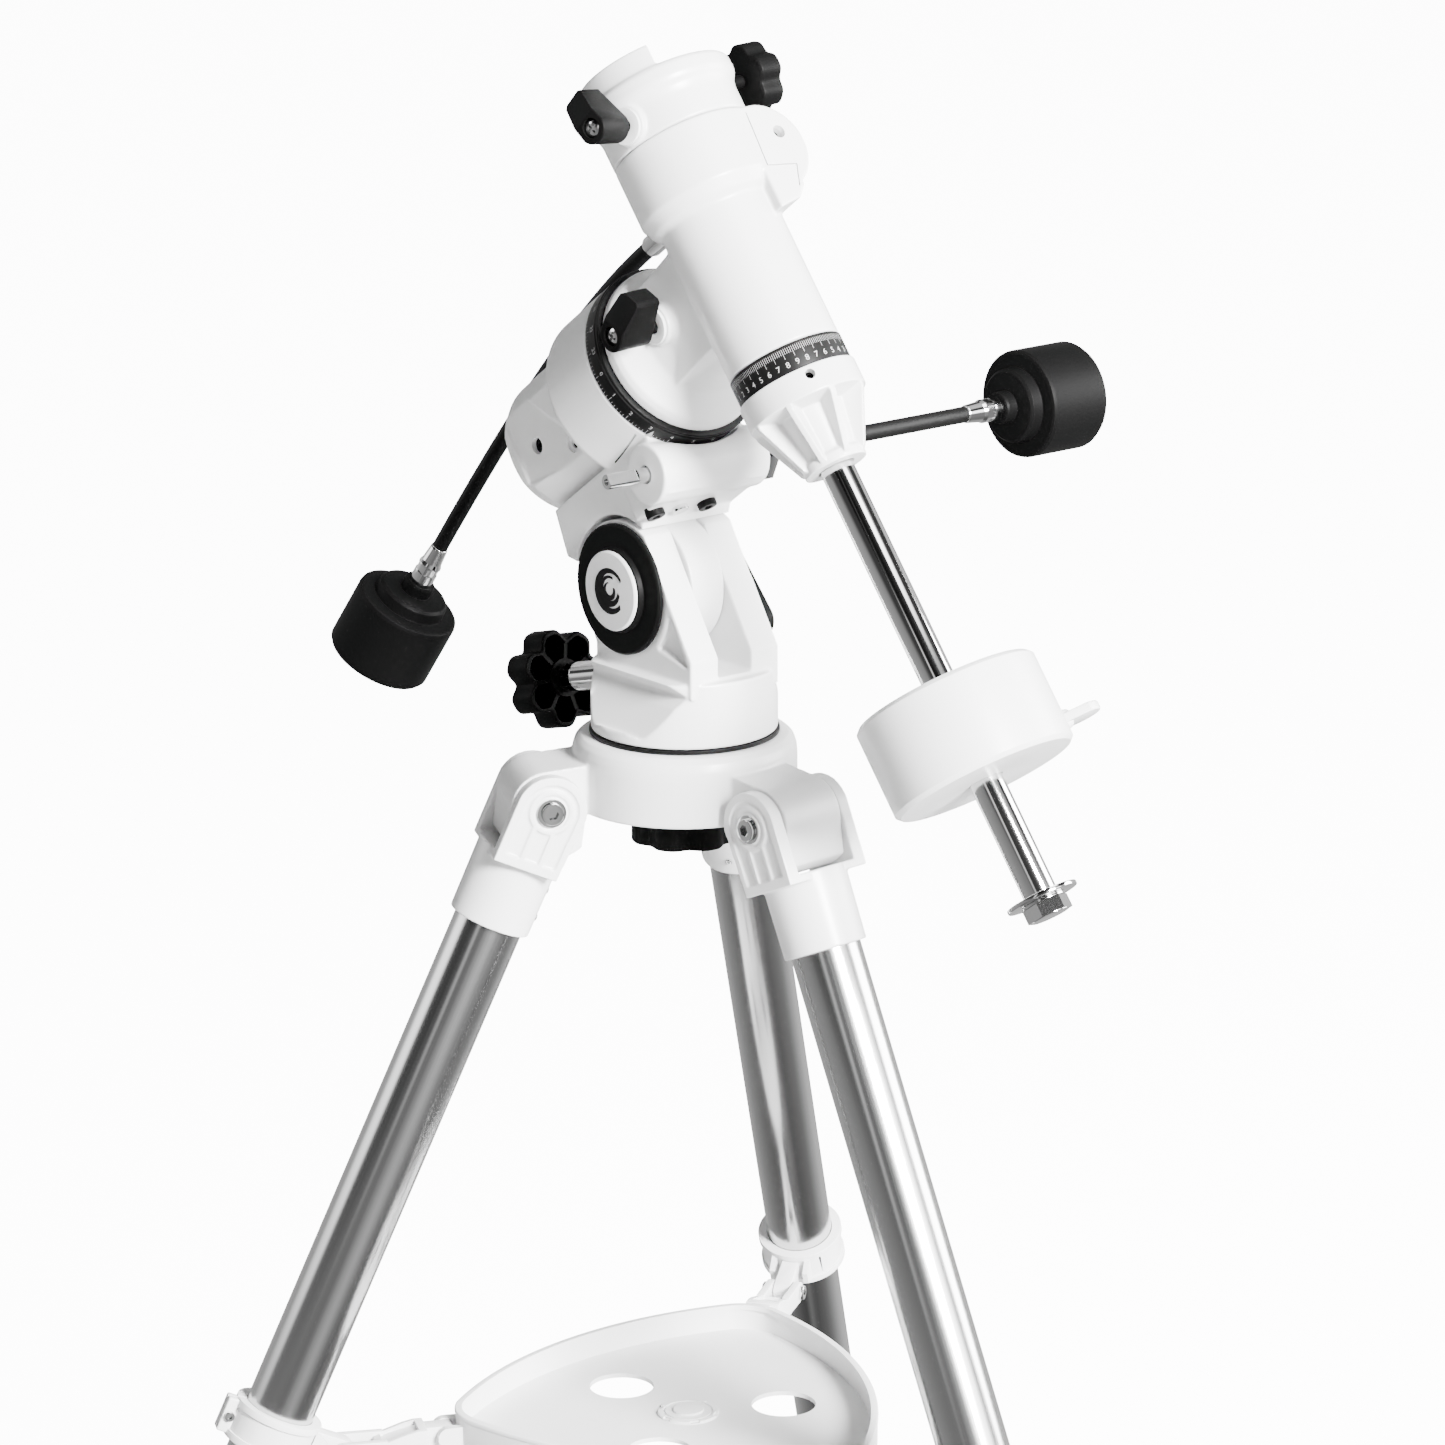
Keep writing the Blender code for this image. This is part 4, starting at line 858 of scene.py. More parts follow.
def make_latitude_parts():
    side = HEAD @ along("X", (0.0, *HINGE))
    reach = FORK_HALF + 0.0003
    pin = rod("pin", side, 0.0080, -reach - 0.003, reach - 0.0006)
    piece(pin, "hinge_pin", "mount_base", CHROME, "latitude_pin")
    disc = [(0.0, 0.0366), (0.0222, 0.0366), (0.0226, 0.0362), (0.0232, 0.0335),
            (0.0343, 0.0333), (0.0354, 0.0323), (0.0354, reach), (0.0, reach)]
    piece(lathe("disc", side, disc), "hinge_disc", "mount_base", BLACK, "hinge_cover_disc")
    badge = [(0.0, 0.0384), (0.0206, 0.0384), (0.0216, 0.0376), (0.0216, 0.0366), (0.0, 0.0366)]
    piece(lathe("badge", side, badge, soft=0.0002), "badge_disc", "mount_base", BADGE)
    make_badge(side)

    screw = latitude_screw_frame()
    knob_low = 0.0240
    bar = thread("screw", screw, 0.0080, -0.085, 0.0120, 0.0015)
    join(bar, rod("plain", screw, 0.0080, 0.0110, knob_low - 0.0003))
    piece(bar, "latitude_rod", "latitude_screw", CHROME, "latitude_screw")
    knob = hollow_knob("knob", screw, 0.0275, 7, 0.0058, knob_low, 0.0430, 0.0105)
    piece(knob, "latitude_star", "latitude_screw", BLACK, "latitude_knob")

    hub = rod("hub", side, 0.0115, -reach - 0.0145, -reach - 0.0036)
    tip = (0.0255, -0.0240)
    lean = atan2(tip[1], tip[0])
    paddle = arc((0.0, 0.0), 0.0118, lean + radians(94), lean + radians(266), 24)
    paddle += arc(tip, 0.0092, lean - radians(86), lean + radians(86), 20)
    flat = HEAD @ shift(0.0, *HINGE) @ SIDE_VIEW
    join(hub, plate("paddle", flat, paddle, -0.0470, -0.0380, 0.0012))
    piece(hub, "latitude_lever", "latitude_lock", BLACK, "latitude_lock_lever")


# ------------------------------------------------------------------ polar axis
def make_ra_housing():
    chamber = 0.0465
    top = 0.0562
    profile = [(0.0, -0.0470), (0.0124, -0.0470), (0.0124, 0.0400), (chamber, 0.0400),
               (chamber, top), (RA_RADIUS, top), (RA_RADIUS, 0.0150), (0.0490, 0.0125),
               (0.0405, 0.0120), (0.0400, -0.0460), (0.0370, -0.0545),
               (0.0300, -0.0600), (0.0, -0.0620)]
    housing = lathe("housing", RA, profile)
    flat_face = 0.0345
    for side in (-1, 1):
        low, high = span(side, flat_face, 0.060)
        cut(housing, block("flat", RA, (low, -0.05, -0.07), (high, 0.05, 0.0118)))
    # Seen from the side: X is down from the polar axis, Y is along it.
    view = RA @ SIDE_VIEW
    web = [(0.036, -0.0440), (0.0615, -0.0490), (0.0700, -0.0400), (0.0800, -0.0150),
           (0.0800, 0.0160), (0.0740, 0.0235), (0.036, 0.0235)]
    casting = plate("web", view, web, -FORK_HALF, FORK_HALF)
    eye = RA @ along("X", (0.0, EYE.y, EYE.z))
    cut(casting, rod("arch", eye, EAR_RADIUS + 0.0025, -0.04, 0.04, soft=0.0, steps=TURN))
    join(housing, casting)
    knuckle_half = SLOT_HALF - 0.0003
    knuckle = rod("knuckle", eye, 0.036, -knuckle_half, knuckle_half, steps=TURN)
    join(knuckle, block("neck", RA, (-knuckle_half, 0.050, EYE.z - 0.030),
                        (knuckle_half, 0.085, EYE.z + 0.030)))
    join(housing, knuckle)
    barrel = rod("barrel", RA_WORM_AXIS, 0.0165, -0.036, 0.036, soft=0.0012, steps=TURN)
    join(barrel, block("block", RA, (-0.032, 0.036, 0.020), (0.032, 0.0725, 0.0555)))
    cut(barrel, rod("circle_room", RA, RA_RADIUS + 0.0012, top + 0.0001, 0.08, steps=TURN))
    cut(barrel, rod("chamber_room", RA, chamber + 0.001, 0.0400, 0.08, steps=TURN))
    join(housing, barrel)
    cut(housing, rod("worm_bore", RA_WORM_AXIS, 0.0121, -0.05, 0.0332))
    cut(housing, rod("hinge_bore", eye, 0.0083, -0.05, 0.05))
    shallow = 0.0012
    for side in (-1, 1):
        # A sunk field on the flat, with a long leaning rib left across it.
        low, high = span(side, flat_face - shallow, 0.06)
        field = plate("field", view, [(-0.026, -0.050), (0.034, -0.050), (0.034, 0.0060),
                                      (0.0180, 0.0090), (-0.0060, -0.0120), (-0.030, -0.030)],
                      low, high)
        lean = view @ spin(radians(80))
        cut(housing, cut(field, block("rib", lean, (-0.08, -0.0290, low - 0.01),
                                      (0.08, -0.0255, high + 0.01))))
    cast(housing, fillet=6)
    dark, ringed = (0.0023, -0.0321), (0.0148, -0.0025)
    carve(housing, rod("deep_bore", RA @ along("X", (0.0, *dark)), 0.0046, 0.020, 0.06))
    carve(housing, rod("ring_seat", RA @ along("X", (0.0, *ringed)), 0.0052, 0.0318, 0.06))
    carve(housing, rod("ringed_bore", RA @ along("X", (0.0, *ringed)), 0.0030, 0.018, 0.06))
    carve(housing, rod("stub_bore", RA_WORM_AXIS, 0.0050, 0.0300, 0.05))
    split = [(0.0355, 0.0516), (0.0388, 0.0228)]
    for side, end in ((-1, "left"), (1, "right")):
        low, high = span(side, 0.0285, 0.06)
        carve(housing, *scribe(view, split, low, high, 0.0010))
        # A thin black strip at the floor of each split line is painted shade that darkens the
        # groove.
        low, high = span(side, 0.0285, 0.0320)
        shadow = scribe(view, split, low, high, 0.0010)[0]
        piece(shadow, "polar_split_painted_shade_" + end, "polar_housing", BLACK)
    piece(housing, "polar_casting", "polar_housing", WHITE, "ra_housing")


def make_ra_details():
    for i, x in enumerate((0.0270, -0.0080)):
        place = RA @ along("Y", (x, 0.0, 0.0315))
        screw = socket_screw("set_screw", place, 0.0052, 0.0700, 0.0760, 0.0026, 0.0025)
        piece(screw, "polar_set_screw_{}".format(i), "polar_housing", BLACK)
    for name, place, radius, low, high in (("deep", (0.0023, -0.0321), 0.0044, 0.0205, 0.0308),
                                           ("ringed", (0.0148, -0.0025), 0.0029, 0.0185, 0.0308)):
        grub = socket_screw("grub", RA @ along("X", (0.0, *place)), radius, low, high, 0.0015)
        piece(grub, "polar_{}_grub".format(name), "polar_housing", BLACK)
    nut = rod("adjuster", RA @ along("Y", (0.0100, 0.0, 0.0315)), 0.0045, 0.0700, 0.0752)
    piece(nut, "polar_worm_adjuster", "polar_housing", CHROME)
    pointer = [(-0.0016, 0.0), (0.0016, 0.0), (0.0, -0.0060)]
    outward = RA @ frame((0.0, 0.0, 0.0560), (0.62, 0.78, 0.0), (0.78, -0.62, 0.0))
    mark = plate("pointer", outward, pointer, RA_RADIUS - 0.0004, RA_RADIUS + 0.0003)
    piece(mark, "polar_index_mark", "polar_housing", PRINT)


def make_ra_drive():
    profile = [(0.0, 0.062), (0.0040, 0.062), (0.0040, 0.0330), (0.0108, 0.0330),
               (0.0108, -0.0330), (0.0060, -0.0330), (0.0060, -0.0365),
               (0.0125, -0.0365), (0.0125, -0.0440), (0.0055, -0.0440),
               (0.0055, -0.060), (0.0, -0.060)]
    shaft = lathe("worm", RA_WORM_AXIS, profile, steps=48)
    cut(shaft, block("stub_flat", RA_WORM_AXIS, (-0.01, 0.0026, 0.043), (0.01, 0.01, 0.07), 0.0008))
    cut(shaft, rod("end_bore", RA_WORM_AXIS, 0.0018, 0.0590, 0.07))
    piece(shaft, "polar_worm_shaft", "polar_worm", CHROME, "ra_worm")
    nut = ring("nut", RA_WORM_AXIS, 0.0150, 0.0062, -0.0440, -0.0366, steps=6)
    piece(nut, "polar_worm_nut", "polar_worm", CHROME)

    wheel = ring("wheel", RA, 0.0456, 0.0124, 0.0405, 0.0540)
    piece(wheel, "polar_gear", "polar_wheel", BRASS, "ra_worm_wheel")

    ferrule_profile = [(0.0, -0.0603), (0.0070, -0.0603), (0.0075, -0.0620), (0.0075, -0.0860),
                       (0.0062, -0.0885), (0.0062, -0.0940), (0.0, -0.0940)]
    collar = lathe("coupler", RA_WORM_AXIS, ferrule_profile, steps=48)
    cut(collar, block("slit", RA_WORM_AXIS, (-0.0008, 0.0, -0.080), (0.0008, 0.01, -0.060)))
    piece(collar, "polar_cable_coupler", "polar_worm", CHROME)
    sheath = rod("sheath", RA_WORM_AXIS, CABLE_RADIUS, -0.1900, -0.0930)
    piece(sheath, "polar_cable_sheath", "polar_worm", SHEATH, "ra_cable")
    end = ferrule("end", RA_WORM_AXIS @ Matrix.Rotation(pi, 4, "X") @ shift(z=0.1875), 0.0240)
    piece(end, "polar_cable_ferrule", "polar_worm", CHROME)
    knob = lathe("knob", RA_WORM_AXIS, knob_profile(-0.2118, -1))
    piece(knob, "polar_cable_drum", "polar_worm", BLACK, "ra_cable_knob")

    circle = [(0.0490, 0.0677), (0.0494, 0.0672), (0.0494, 0.0662), (RA_RADIUS, 0.0656),
              (RA_RADIUS, 0.0566), (0.0395, 0.0566), (0.0395, 0.0677)]
    dial = lathe("dial", TURNED, circle, closed=True, soft=0.0002, steps=192)
    piece(dial, "polar_dial", "polar_circle", DIAL, "ra_setting_circle")
    make_ra_scale()
    axle = rod("axle", TURNED, 0.0120, -0.0465, 0.0662)
    piece(axle, "polar_axle", "dec_head", CHROME, "ra_axle")


def make_ra_scale():
    """Twenty-four hours of ticks and numbers round the polar dial."""
    drum = RA_RADIUS + 0.00008
    around = 2 * pi * drum
    per_hour = 6
    marks = []
    for i in range(24 * per_hour):
        long = 0.0016 if i % per_hour == 0 else 0.0
        marks.append(bar_mark(around * i / (24 * per_hour), 0.0569, 0.0586 + long, 0.00022))
    for hour in range(24):
        marks.append(number_mark(str(hour), around * hour / 24, 0.0628, 0.0038))
    piece(print_marks("scale", TURNED, drum, marks), "polar_dial_scale", "polar_circle", PRINT)


def ferrule(name, matrix, length):
    """Chrome end of a flexible shaft: a tapered sleeve with a hexagon."""
    profile = [(0.0, length), (0.0066, length), (0.0066, 0.012), (0.0058, 0.0100),
               (0.0050, 0.0010), (0.0046, 0.0), (0.0, 0.0)]
    sleeve = lathe(name, matrix, profile, steps=48)
    for i in range(3):
        turn = matrix @ spin(i * pi / 3)
        for side in (-1, 1):
            low, high = span(side, 0.0058, 0.01)
            cut(sleeve, block("flat", turn, (low, -0.01, 0.0130), (high, 0.01, 0.0175)))
    return sleeve


def knob_profile(start, direction):
    """Slow-motion knob: boss, stepped disc and drum, away from its ferrule."""
    steps = [(0.0, 0.0), (0.0085, 0.0), (0.0090, 0.0015), (0.0090, 0.007), (0.0190, 0.0075),
             (0.0205, 0.0090), (0.0210, 0.015), (0.0280, 0.0155), (0.0295, 0.0160),
             (KNOB_RADIUS, 0.0180), (KNOB_RADIUS, 0.0535), (0.0285, 0.0558), (0.0, 0.0558)]
    profile = [(radius, start + direction * height) for radius, height in steps]
    return profile if direction < 0 else profile[::-1]


# -------------------------------------------------------------- declination head
def make_dec_housing():
    neck = [(0.0, 0.135), (0.0240, 0.135), (0.0240, 0.112), (0.0270, 0.096),
            (0.0320, 0.086), (0.0400, 0.0800), (0.0450, 0.0765), (0.0464, 0.0735),
            (0.0466, 0.0680), (0.0391, 0.0680), (0.0391, 0.0568), (0.0123, 0.0568),
            (0.0123, 0.0665), (0.0, 0.0665)]
    housing = lathe("housing", TURNED, neck)
    # Seen from the side: X is down from the polar axis, Y is along it.
    view = TURNED @ SIDE_VIEW
    box = [(-0.0300, 0.0740), (-0.0355, 0.1250), (0.0205, 0.1250), (0.0240, 0.0740)]
    join(housing, plate("neck_box", view, box, -0.0255, 0.0255, 0.0010))
    tube = [(0.0, -0.0860), (FLANGE_RADIUS, -0.0860), (FLANGE_RADIUS, -0.0520), (0.0345, -0.0450),
            (DEC_RADIUS, -0.0420), (DEC_RADIUS, 0.0419), (0.0, 0.0419)]
    join(housing, lathe("tube", DEC, tube[::-1], soft=0.0010))
    half = 0.036
    lobe = arc((-0.0215, -0.0605), 0.0247, radians(90), radians(270), 32)
    lobe += [(-0.0120, -0.0852), (-0.0120, -0.0358)]
    join(housing, plate("worm_block", TURNED, lobe, DEC_STATION - half, DEC_STATION + half))
    foot = [(-0.0120, -0.0500), (-0.0330, -0.0500), (-0.0330, -0.0365), (-0.0270, -0.0300),
            (-0.0120, -0.0270)]
    join(housing, plate("bracket", TURNED, foot, DEC_STATION + 0.014,
                        DEC_STATION + half))
    join(housing, rod("boss", POLAR_CLUTCH, 0.0108, 0.015, 0.0325, soft=0.001))
    cut(housing, rod("bore", DEC, 0.0100, -0.10, 0.06))
    cut(housing, rod("wheel_room", DEC, 0.0235, -0.10, -0.064))
    cut(housing, rod("worm_bore", DEC_WORM_AXIS, 0.0098, -0.05, half - 0.004))
    cast(housing, fillet=7)
    carve(housing, rod("worm_eye", DEC_WORM_AXIS, 0.0036, 0.0, 0.05))
    cover = [(-0.0174, -0.0816), (-0.0152, -0.0507), (-0.0340, -0.0482), (-0.0292, -0.0361)]
    end = DEC_STATION + half
    carve(housing, *scribe(TURNED, cover, end - 0.0014, end + 0.005, 0.0007))
    piece(housing, "declination_casting", "dec_head", WHITE, "dec_housing")
    washer = ring("washer", POLAR_CLUTCH, 0.0096, 0.0042, 0.0326, 0.0344)
    piece(washer, "polar_clutch_washer", "dec_head", PLASTIC)


def make_dec_drive():
    profile = [(0.0, 0.0330), (0.0090, 0.0325), (0.0090, -0.0330), (0.0050, -0.0330),
               (0.0050, -0.0420), (0.0056, -0.0425), (0.0060, -0.0440), (0.0060, -0.0945),
               (0.0054, -0.0960), (0.0, -0.0960)]
    shaft = lathe("worm", DEC_WORM_AXIS, profile, steps=48)
    coupler = DEC_WORM_AXIS @ along("X", (0.0, 0.0, -0.058))
    cut(shaft, rod("coupler_screw", coupler, 0.0020, 0.004, 0.01))
    piece(shaft, "declination_worm_shaft", "dec_worm", CHROME, "dec_worm")
    wheel = ring("wheel", DEC, 0.0228, 0.0098, -0.0855, -0.0645)
    piece(wheel, "declination_gear", "dec_wheel", BRASS, "dec_worm_wheel")
    dial = ring("dial", DEC, DEC_RADIUS + 0.0003, 0.0203, 0.0422, 0.0563, steps=192)
    piece(dial, "declination_dial", "dec_circle", DIAL, "dec_setting_circle")
    make_dec_scale()


def make_dec_scale():
    """Ticks every two degrees, with the tens of degrees counted up and down."""
    drum = DEC_RADIUS + 0.00038
    around = 2 * pi * drum
    marks = []
    for i in range(180):
        long = 0.0025 if i % 5 == 0 else 0.0
        marks.append(bar_mark(around * i / 180, 0.0437, 0.0468 + long, 0.00020))
    for ten in range(36):
        label = abs(9 - ten % 18)
        marks.append(number_mark(str(label), around * ten / 36, 0.0527, 0.0044, True))
    turned = DEC @ spin(radians(31))
    piece(print_marks("scale", turned, drum, marks), "declination_dial_scale", "dec_circle", PRINT)


def bezier(start, start_way, end, end_way, pull, steps):
    """Smooth curve between two places, leaving and arriving along two ways."""
    first = start + start_way.normalized() * pull[0]
    last = end - end_way.normalized() * pull[1]
    points = []
    for i in range(steps + 1):
        t = i / steps
        u = 1 - t
        points.append(start * u ** 3 + first * 3 * u * u * t
                      + last * 3 * u * t * t + end * t ** 3)
    return points


def make_dec_cable():
    """Flexible shaft: straight off the worm, then hanging down to its knob."""
    knob_way = way("dec_knob_spin")
    tip = TURNED.inverted() @ spot("dec_knob_spin")
    turn = TURNED.to_3x3().inverted()
    leave = Vector((DEC_WORM.x, DEC_WORM.y, DEC_STATION - 0.0963))
    start = Vector((DEC_WORM.x, DEC_WORM.y, DEC_STATION - 0.1010))
    curve = bezier(start, Vector((0, 0, -1)), tip, turn @ knob_way, (0.085, 0.060), 48)
    sheath = wire("sheath", TURNED, [leave] + curve, CABLE_RADIUS)
    piece(sheath, "declination_cable_sheath", "dec_head", SHEATH, "dec_cable")
    end = frame(spot("dec_knob_spin"), knob_way, (1, 0, 0))
    piece(ferrule("end", end @ shift(z=-0.004), 0.0240), "declination_cable_ferrule",
          "dec_head", CHROME)
    knob = lathe("knob", end, knob_profile(0.0203, 1))
    piece(knob, "declination_cable_drum", "dec_knob", BLACK, "dec_cable_knob")


def make_saddle():
    top = 0.131
    seat = 0.119
    up = DEC @ along("-Z")
    profile = [(0.0, top), (0.0380, top), (0.0385, top - 0.0006), (0.0388, seat),
               (0.0402, seat - 0.0006), (0.0414, seat - 0.0025), (0.0415, 0.1105),
               (0.0408, 0.1080), (0.0390, 0.1055), (0.0381, 0.1015), (0.0380, 0.0863),
               (0.0095, 0.0863), (0.0095, -0.0940), (0.0, -0.0940)]
    saddle = lathe("saddle", up, profile)
    # Across: local Y of the declination frame points to the fixed jaw.
    cut(saddle, block("seat", DEC, (-0.06, -0.06, -0.16), (0.06, 0.0205, -seat)))
    clamp = DEC @ along("-Y", (0.0, 0.0, -0.1125))
    join(saddle, rod("clamp_boss", clamp, 0.0064, 0.030, 0.0470, soft=0.0010))
    cut(saddle, rod("clamp_hole", clamp, 0.0038, 0.015, 0.06))
    height = (DEC.inverted() @ spot("dec_clutch_turn")).z
    side = frame(DEC @ Vector((0.0, 0.0, height)), way("dec_clutch_turn"), -way("dec_turn"))
    join(saddle, rod("boss", side, 0.0108, 0.030, 0.0400, soft=0.0010))
    cast(saddle, fillet=5)
    piece(saddle, "saddle_casting", "dec_shaft", WHITE, "saddle")
    washer = ring("washer", side, 0.0096, 0.0040, 0.0401, 0.0420)
    piece(washer, "declination_clutch_washer", "dec_shaft", PLASTIC)

    knob = hollow_knob("knob", clamp @ shift(z=0.126) @ Matrix.Rotation(pi, 4, "X"), 0.0195, 6,
                       0.0030, 0.0560, 0.0700, 0.0070)
    join(knob, rod("stem", clamp, 0.0035, 0.0190, 0.0600))
    piece(knob, "saddle_star", "saddle_clamp", BLACK, "saddle_knob")
    make_lever("dec_clutch_lever", "declination_clutch", "dec_clutch", side, 0.0423, 0.0032,
               radians(18))
    make_lever("ra_clutch_lever", "polar_clutch", "ra_clutch", POLAR_CLUTCH, 0.0348, 0.0036,
               radians(120))


def make_lever(node, name, body, side, start, stem, turn):
    """Clutch lever: a thick handle with a slanting outer face and a cross screw."""
    handle = arc((0.0, 0.0), 0.0085, radians(100), radians(260), 24)
    handle += [(0.0210, -0.0070), (0.0225, -0.0050), (0.0225, 0.0050), (0.0210, 0.0070)]
    placed = side @ spin(turn)
    near = start + 0.0060
    far = start + 0.0280
    lever = plate("handle", placed, handle, near, far, 0.0008)
    slant = frame((0.0060, 0.0, far), (0.40, 0.0, 1.0), (1, 0, 0))
    cut(lever, block("slant", placed @ slant, (0.0, -0.03, 0.0), (0.05, 0.03, 0.03)))
    cut(lever, rod("screw_seat", placed, 0.0052, far - 0.0030, far + 0.01))
    join(lever, rod("stem", side, stem, start - 0.0100, start + 0.0080))
    piece(lever, name + "_handle", body, BLACK, node)
    screw = cross_screw("screw", placed, 0.0046, far - 0.0040, far - 0.0006)
    piece(screw, name + "_screw", body, CHROME)


# -------------------------------------------------------------- counterweight
def make_shaft_collar():
    hub = [(0.0172, 0.1050), (0.0172, 0.1000), (0.0152, 0.0980), (0.0190, 0.0735),
           (0.0325, 0.0712), (0.0325, 0.0566), (0.0200, 0.0566), (0.0200, 0.0424),
           (0.0098, 0.0424), (0.0098, 0.1050)]
    collar = lathe("collar", DEC, hub, closed=True)
    fin = [(0.0698, 0.012), (0.0698, 0.0322), (0.0735, 0.0320), (0.1015, 0.0190),
           (0.1035, 0.0165), (0.1035, 0.012)]
    for i in range(8):
        turn = spin(i * pi / 4 + radians(12))
        fin_view = turn @ frame((0, 0, 0), (0, 1, 0), (0, 0, 1))
        join(collar, plate("fin", DEC @ fin_view, fin, -0.0017, 0.0017))
    grub_turn = DEC @ spin(radians(26)) @ along("X", (0.0, 0.0, 0.0615))
    cast(collar, fillet=4, voxel=0.7 * VOXEL)
    carve(collar, rod("grub_hole", grub_turn, 0.0027, 0.0225, 0.05))
    piece(collar, "shaft_hub", "dec_shaft", WHITE, "shaft_collar")
    screw = socket_screw("grub", grub_turn, 0.0026, 0.0228, 0.0270, 0.0013)
    piece(screw, "shaft_hub_grub", "dec_shaft", BLACK)


def make_counterweight():
    shaft_end = 0.350
    shaft = rod("shaft", DEC, 0.009, 0.0943, shaft_end, soft=0.0006, steps=TURN)
    piece(shaft, "counterweight_bar", "dec_shaft", CHROME, "counterweight_shaft")
    low, high = 0.234, 0.285
    radius = 0.050
    edge = radius - 0.0024
    profile = [(edge, high), (radius, high - 0.0024), (radius, low + 0.0024), (edge, low),
               (0.0094, low), (0.0094, high)]
    weight = lathe("weight", DEC, profile, closed=True, soft=0.0007, steps=128)
    lock = DEC @ frame((0.0, 0.0, 0.270), (0.22, -0.975, 0.0), (0, 0, 1))
    cut(weight, rod("lock_hole", lock, 0.0044, 0.020, 0.06))
    piece(weight, "weight_body", "weight", IRON, "counterweight")
    wing = arc((0.0, 0.0640), 0.0130, radians(10), radians(170), 32)
    wing += [(-0.0055, 0.0535), (0.0055, 0.0535)]
    flat = lock @ SIDE_VIEW
    screw = plate("wing", flat, wing, -0.0025, 0.0025, 0.0010)
    join(screw, lathe("root", lock, [(0.0, 0.0600), (0.0050, 0.0590), (0.0062, 0.0515),
                                     (0.0040, 0.0505), (0.0040, 0.0105), (0.0, 0.0105)]))
    piece(screw, "weight_wing_screw", "weight_lock", IRON, "counterweight_lock_screw")

    washer = rod("washer", DEC, 0.01925, shaft_end + 0.0003, shaft_end + 0.0025, soft=0.0005,
                 steps=TURN)
    spring = ring("spring_washer", DEC, 0.0120, 0.005, shaft_end + 0.0026, shaft_end + 0.0042)
    head = rod("head", DEC, 0.0125, shaft_end + 0.0043, shaft_end + 0.0115, soft=0.0, steps=6)
    dome = rod("dome", DEC, 0.0105, shaft_end + 0.010, shaft_end + 0.0119, soft=0.0006)
    piece(merge(washer, spring, head, dome), "toe_bolt", "dec_shaft", CHROME, "toe_stop")


# -------------------------------------------------------------- light and stage
def grey_ramp(tree, fac, stops):
    """Colour ramp of grey levels along one value."""
    ramp = node(tree, "ValToRGB", {"Fac": fac})
    elements = ramp.color_ramp.elements
    while len(elements) < len(stops):
        elements.new(0.5)
    for element, (position, level) in zip(elements, stops):
        element.position = position
        element.color = (level, level, level, 1.0)
    return ramp.outputs["Color"]


def ranged(tree, value, low, high):
    """The value carried from low..high to 0..1."""
    return node(tree, "MapRange", {"Value": value, "From Min": low,
                                   "From Max": high}).outputs["Result"]


def blend(tree, factor, first, second, way_of="MIX"):
    return node(tree, "Mix", {"Factor": factor, "A": first, "B": second},
                data_type="RGBA", blend_type=way_of).outputs["Result"]


def background(tree, strength, colour=(1.0, 1.0, 1.0, 1.0)):
    return node(tree, "Background", {"Color": colour,
                                     "Strength": strength}).outputs["Background"]


def chosen(tree, fac, first, second):
    """The second shader where fac is one, else the first."""
    return node(tree, "MixShader", {"Fac": fac, 1: first, 2: second}).outputs["Shader"]


AMBIENT = 0.42       # strength of the world as light,
MIRRORED = 9.0       # as metal reflects it,
BACKDROP = 14.0      # and as the camera sees it
FLOOR_GLOW = 12.0


def make_world():
    """White to the eye, grey as light, and striped where metal mirrors it."""
    world = bpy.data.worlds.new("studio")
    bpy.context.scene.world = world
    world.use_nodes = True
    tree = world.node_tree
    tree.nodes.clear()
    place = node(tree, "TexCoord", {})
    apart = node(tree, "SeparateXYZ", {"Vector": place.outputs["Generated"]}).outputs
    around = node(tree, "Math", {0: apart["Y"], 1: apart["X"]}, operation="ARCTAN2")
    turn = ranged(tree, around.outputs["Value"], -pi, pi)
    # Stops run round the horizon, from -X through -Y, +X and +Y back to -X.
    upper = grey_ramp(tree, turn, (
        (0.0, 0.10), (0.17, 0.06), (0.29, 0.10), (0.333, 0.40), (0.389, 0.40), (0.422, 0.006),
        (0.547, 0.006), (0.557, 0.14), (0.569, 0.12), (0.578, 0.005), (0.703, 0.005),
        (0.719, 1.0), (0.814, 0.90), (0.836, 0.11), (1.0, 0.10)))
    lower = grey_ramp(tree, turn, (
        (0.0, 0.10), (0.34, 0.05), (0.49, 0.03), (0.61, 0.02), (0.69, 0.07), (0.77, 0.025),
        (0.89, 0.035), (1.0, 0.10)))
    level = blend(tree, ranged(tree, apart["Z"], 0.02, 0.25), lower, upper)
    # A dark gap below the zenith gives bars that lie flat their streaks.
    gap = grey_ramp(tree, ranged(tree, apart["Z"], -1.0, 1.0), (
        (0.0, 0.4), (0.30, 1.0), (0.72, 1.0), (0.76, 0.05), (0.86, 0.05), (0.90, 1.0)))
    banded = blend(tree, 1.0, level, gap, "MULTIPLY")
    path = node(tree, "LightPath", {}).outputs
    unseen = chosen(tree, path["Is Glossy Ray"], background(tree, AMBIENT),
                    background(tree, MIRRORED, banded))
    shown = chosen(tree, path["Is Camera Ray"], unseen, background(tree, BACKDROP))
    node(tree, "OutputWorld", {"Surface": shown})


def add_lamp(name, place, target, size, power):
    data = bpy.data.lights.new(name, "AREA")
    data.shape = "DISK"
    data.size = size
    data.energy = power
    place = Vector(place)
    show(name, data).matrix_world = frame(place, place - Vector(target), UP)


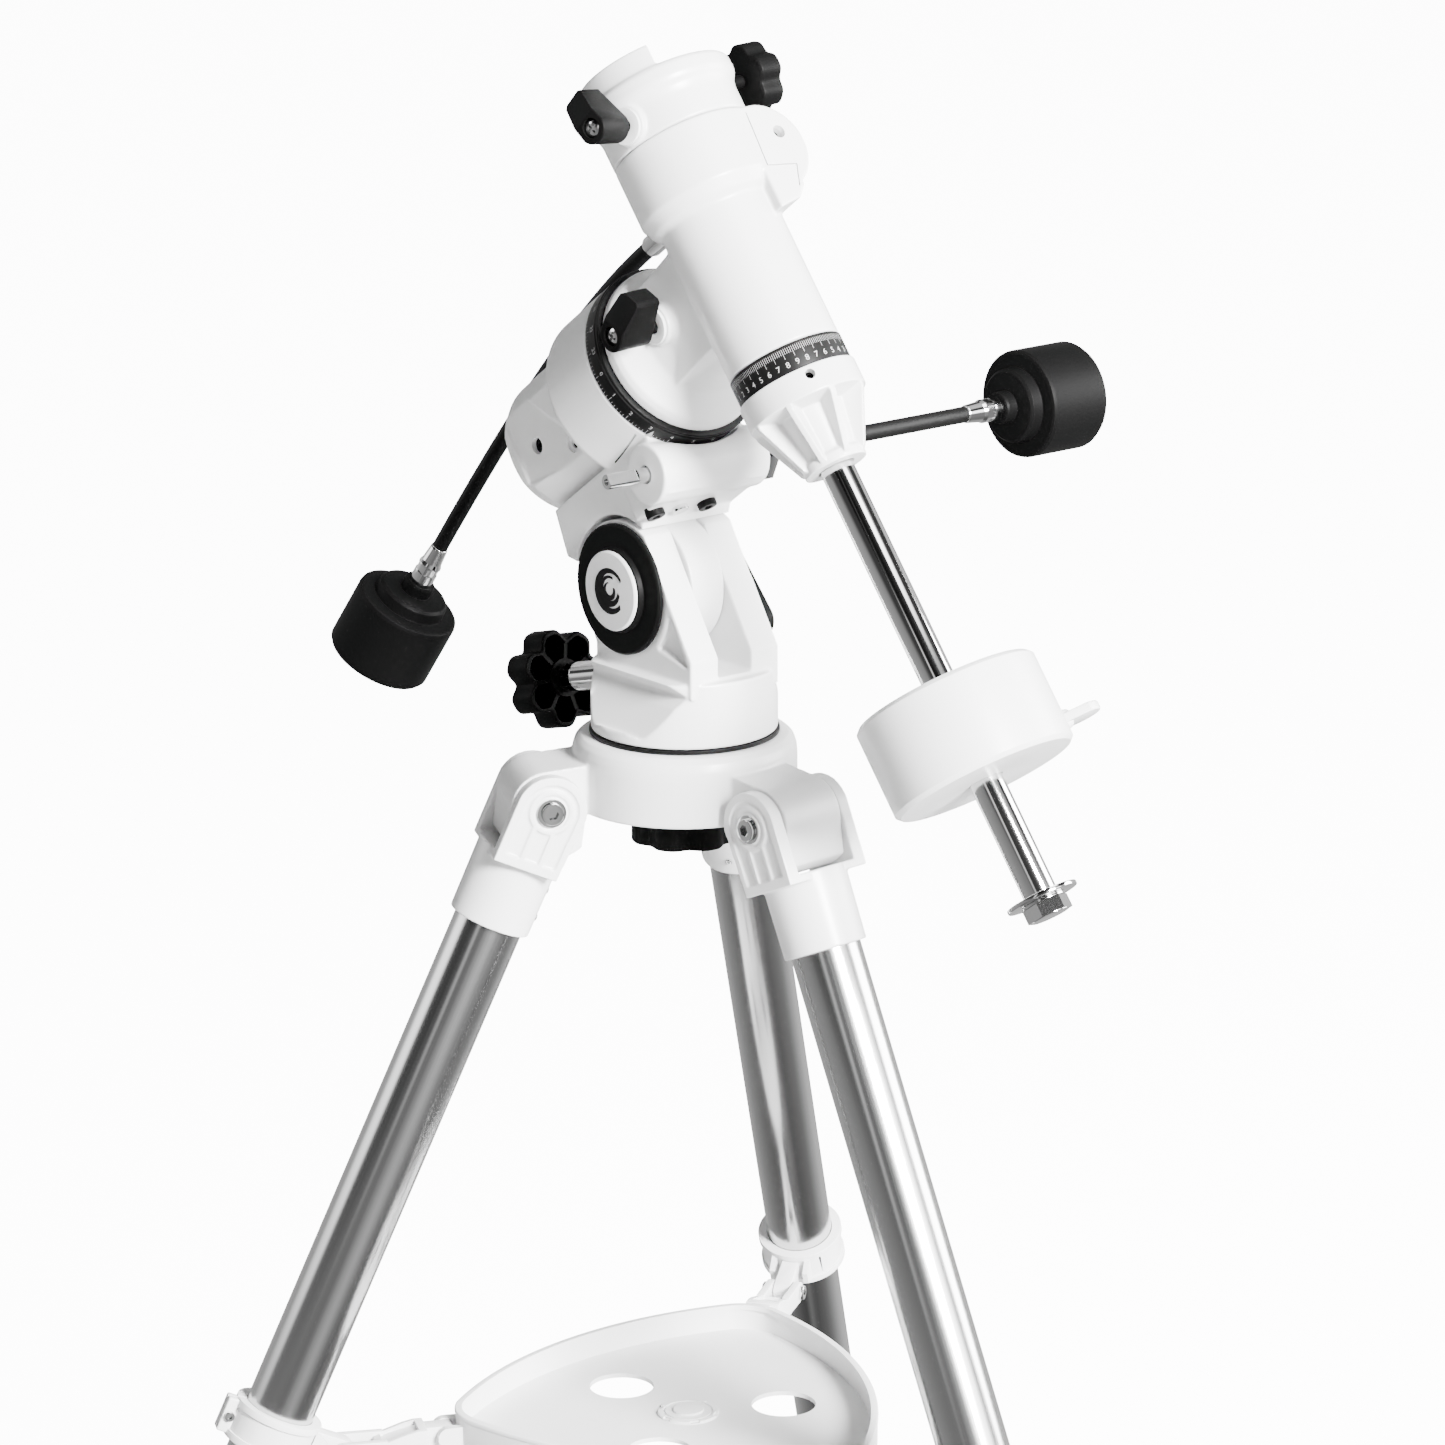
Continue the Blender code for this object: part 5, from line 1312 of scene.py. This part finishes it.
def make_floor():
    """Pale floor that looks pure white to the camera and only bounces light elsewhere."""
    reach = 30.0
    mesh = bpy.data.meshes.new("floor")
    mesh.from_pydata([(-reach, -reach, 0), (reach, -reach, 0), (reach, reach, 0),
                      (-reach, reach, 0)], [], [(0, 1, 2, 3)])
    floor = show("floor", mesh)
    floor.location.z = -0.0005
    floor.visible_glossy = False
    material = bpy.data.materials.new("studio_floor")
    material.use_nodes = True
    tree = material.node_tree
    path = node(tree, "LightPath", {})
    glow = node(tree, "Math", {0: path.outputs["Is Camera Ray"], 1: FLOOR_GLOW},
                operation="MULTIPLY")
    feed(tree, tree.nodes["Principled BSDF"], {
        "Base Color": (0.45, 0.45, 0.45, 1.0), "Roughness": 0.9,
        "Emission Color": (1.0, 1.0, 1.0, 1.0), "Emission Strength": glow.outputs["Value"]})
    mesh.materials.append(material)


def make_camera():
    data = bpy.data.cameras.new("camera")
    data.lens = 139.9
    data.sensor_width = 36.0
    camera = show("camera", data)
    place = TRIPOD.translation + Vector((1.981, 2.1171, 0.821))
    back = Vector((0.6626, 0.6982, 0.2713))
    roll = radians(-0.21)
    level = Vector((-0.7254, 0.6884, 0.0))
    rise = Vector((-0.1867, -0.1968, 0.9625))
    camera.matrix_world = frame(place, back, level * cos(roll) + rise * sin(roll))
    bpy.context.scene.camera = camera


# ----------------------------------------------------------------------- build
make_tripod_head()
for leg_name, leg_angle in LEGS.items():
    out = Vector((cos(leg_angle), sin(leg_angle), 0.0))
    leg_axis = frame(spot("leg_fold_" + leg_name), -way("leg_slide_" + leg_name), out)
    make_leg_bracket(leg_axis, leg_name)
    make_leg_tubes(leg_axis, leg_name)
    make_leg_lock(leg_axis, leg_name)
    make_foot(leg_axis, leg_name)
    make_spreader_clamp(leg_axis, leg_name)
    make_arm(leg_axis, leg_name, leg_angle)
make_tray()
make_azimuth_knob()
make_azimuth_base()
make_latitude_parts()
make_ra_housing()
make_ra_details()
make_ra_drive()
make_dec_housing()
make_dec_drive()
make_dec_cable()
make_saddle()
make_shaft_collar()
make_counterweight()

make_world()
CENTRE = (0.0, -0.08, 0.75)
add_lamp("key", (0.4, 3.6, 2.4), CENTRE, 1.4, 1400.0)
add_lamp("side", (-2.8, 1.6, 1.6), CENTRE, 2.0, 230.0)
make_floor()
make_camera()
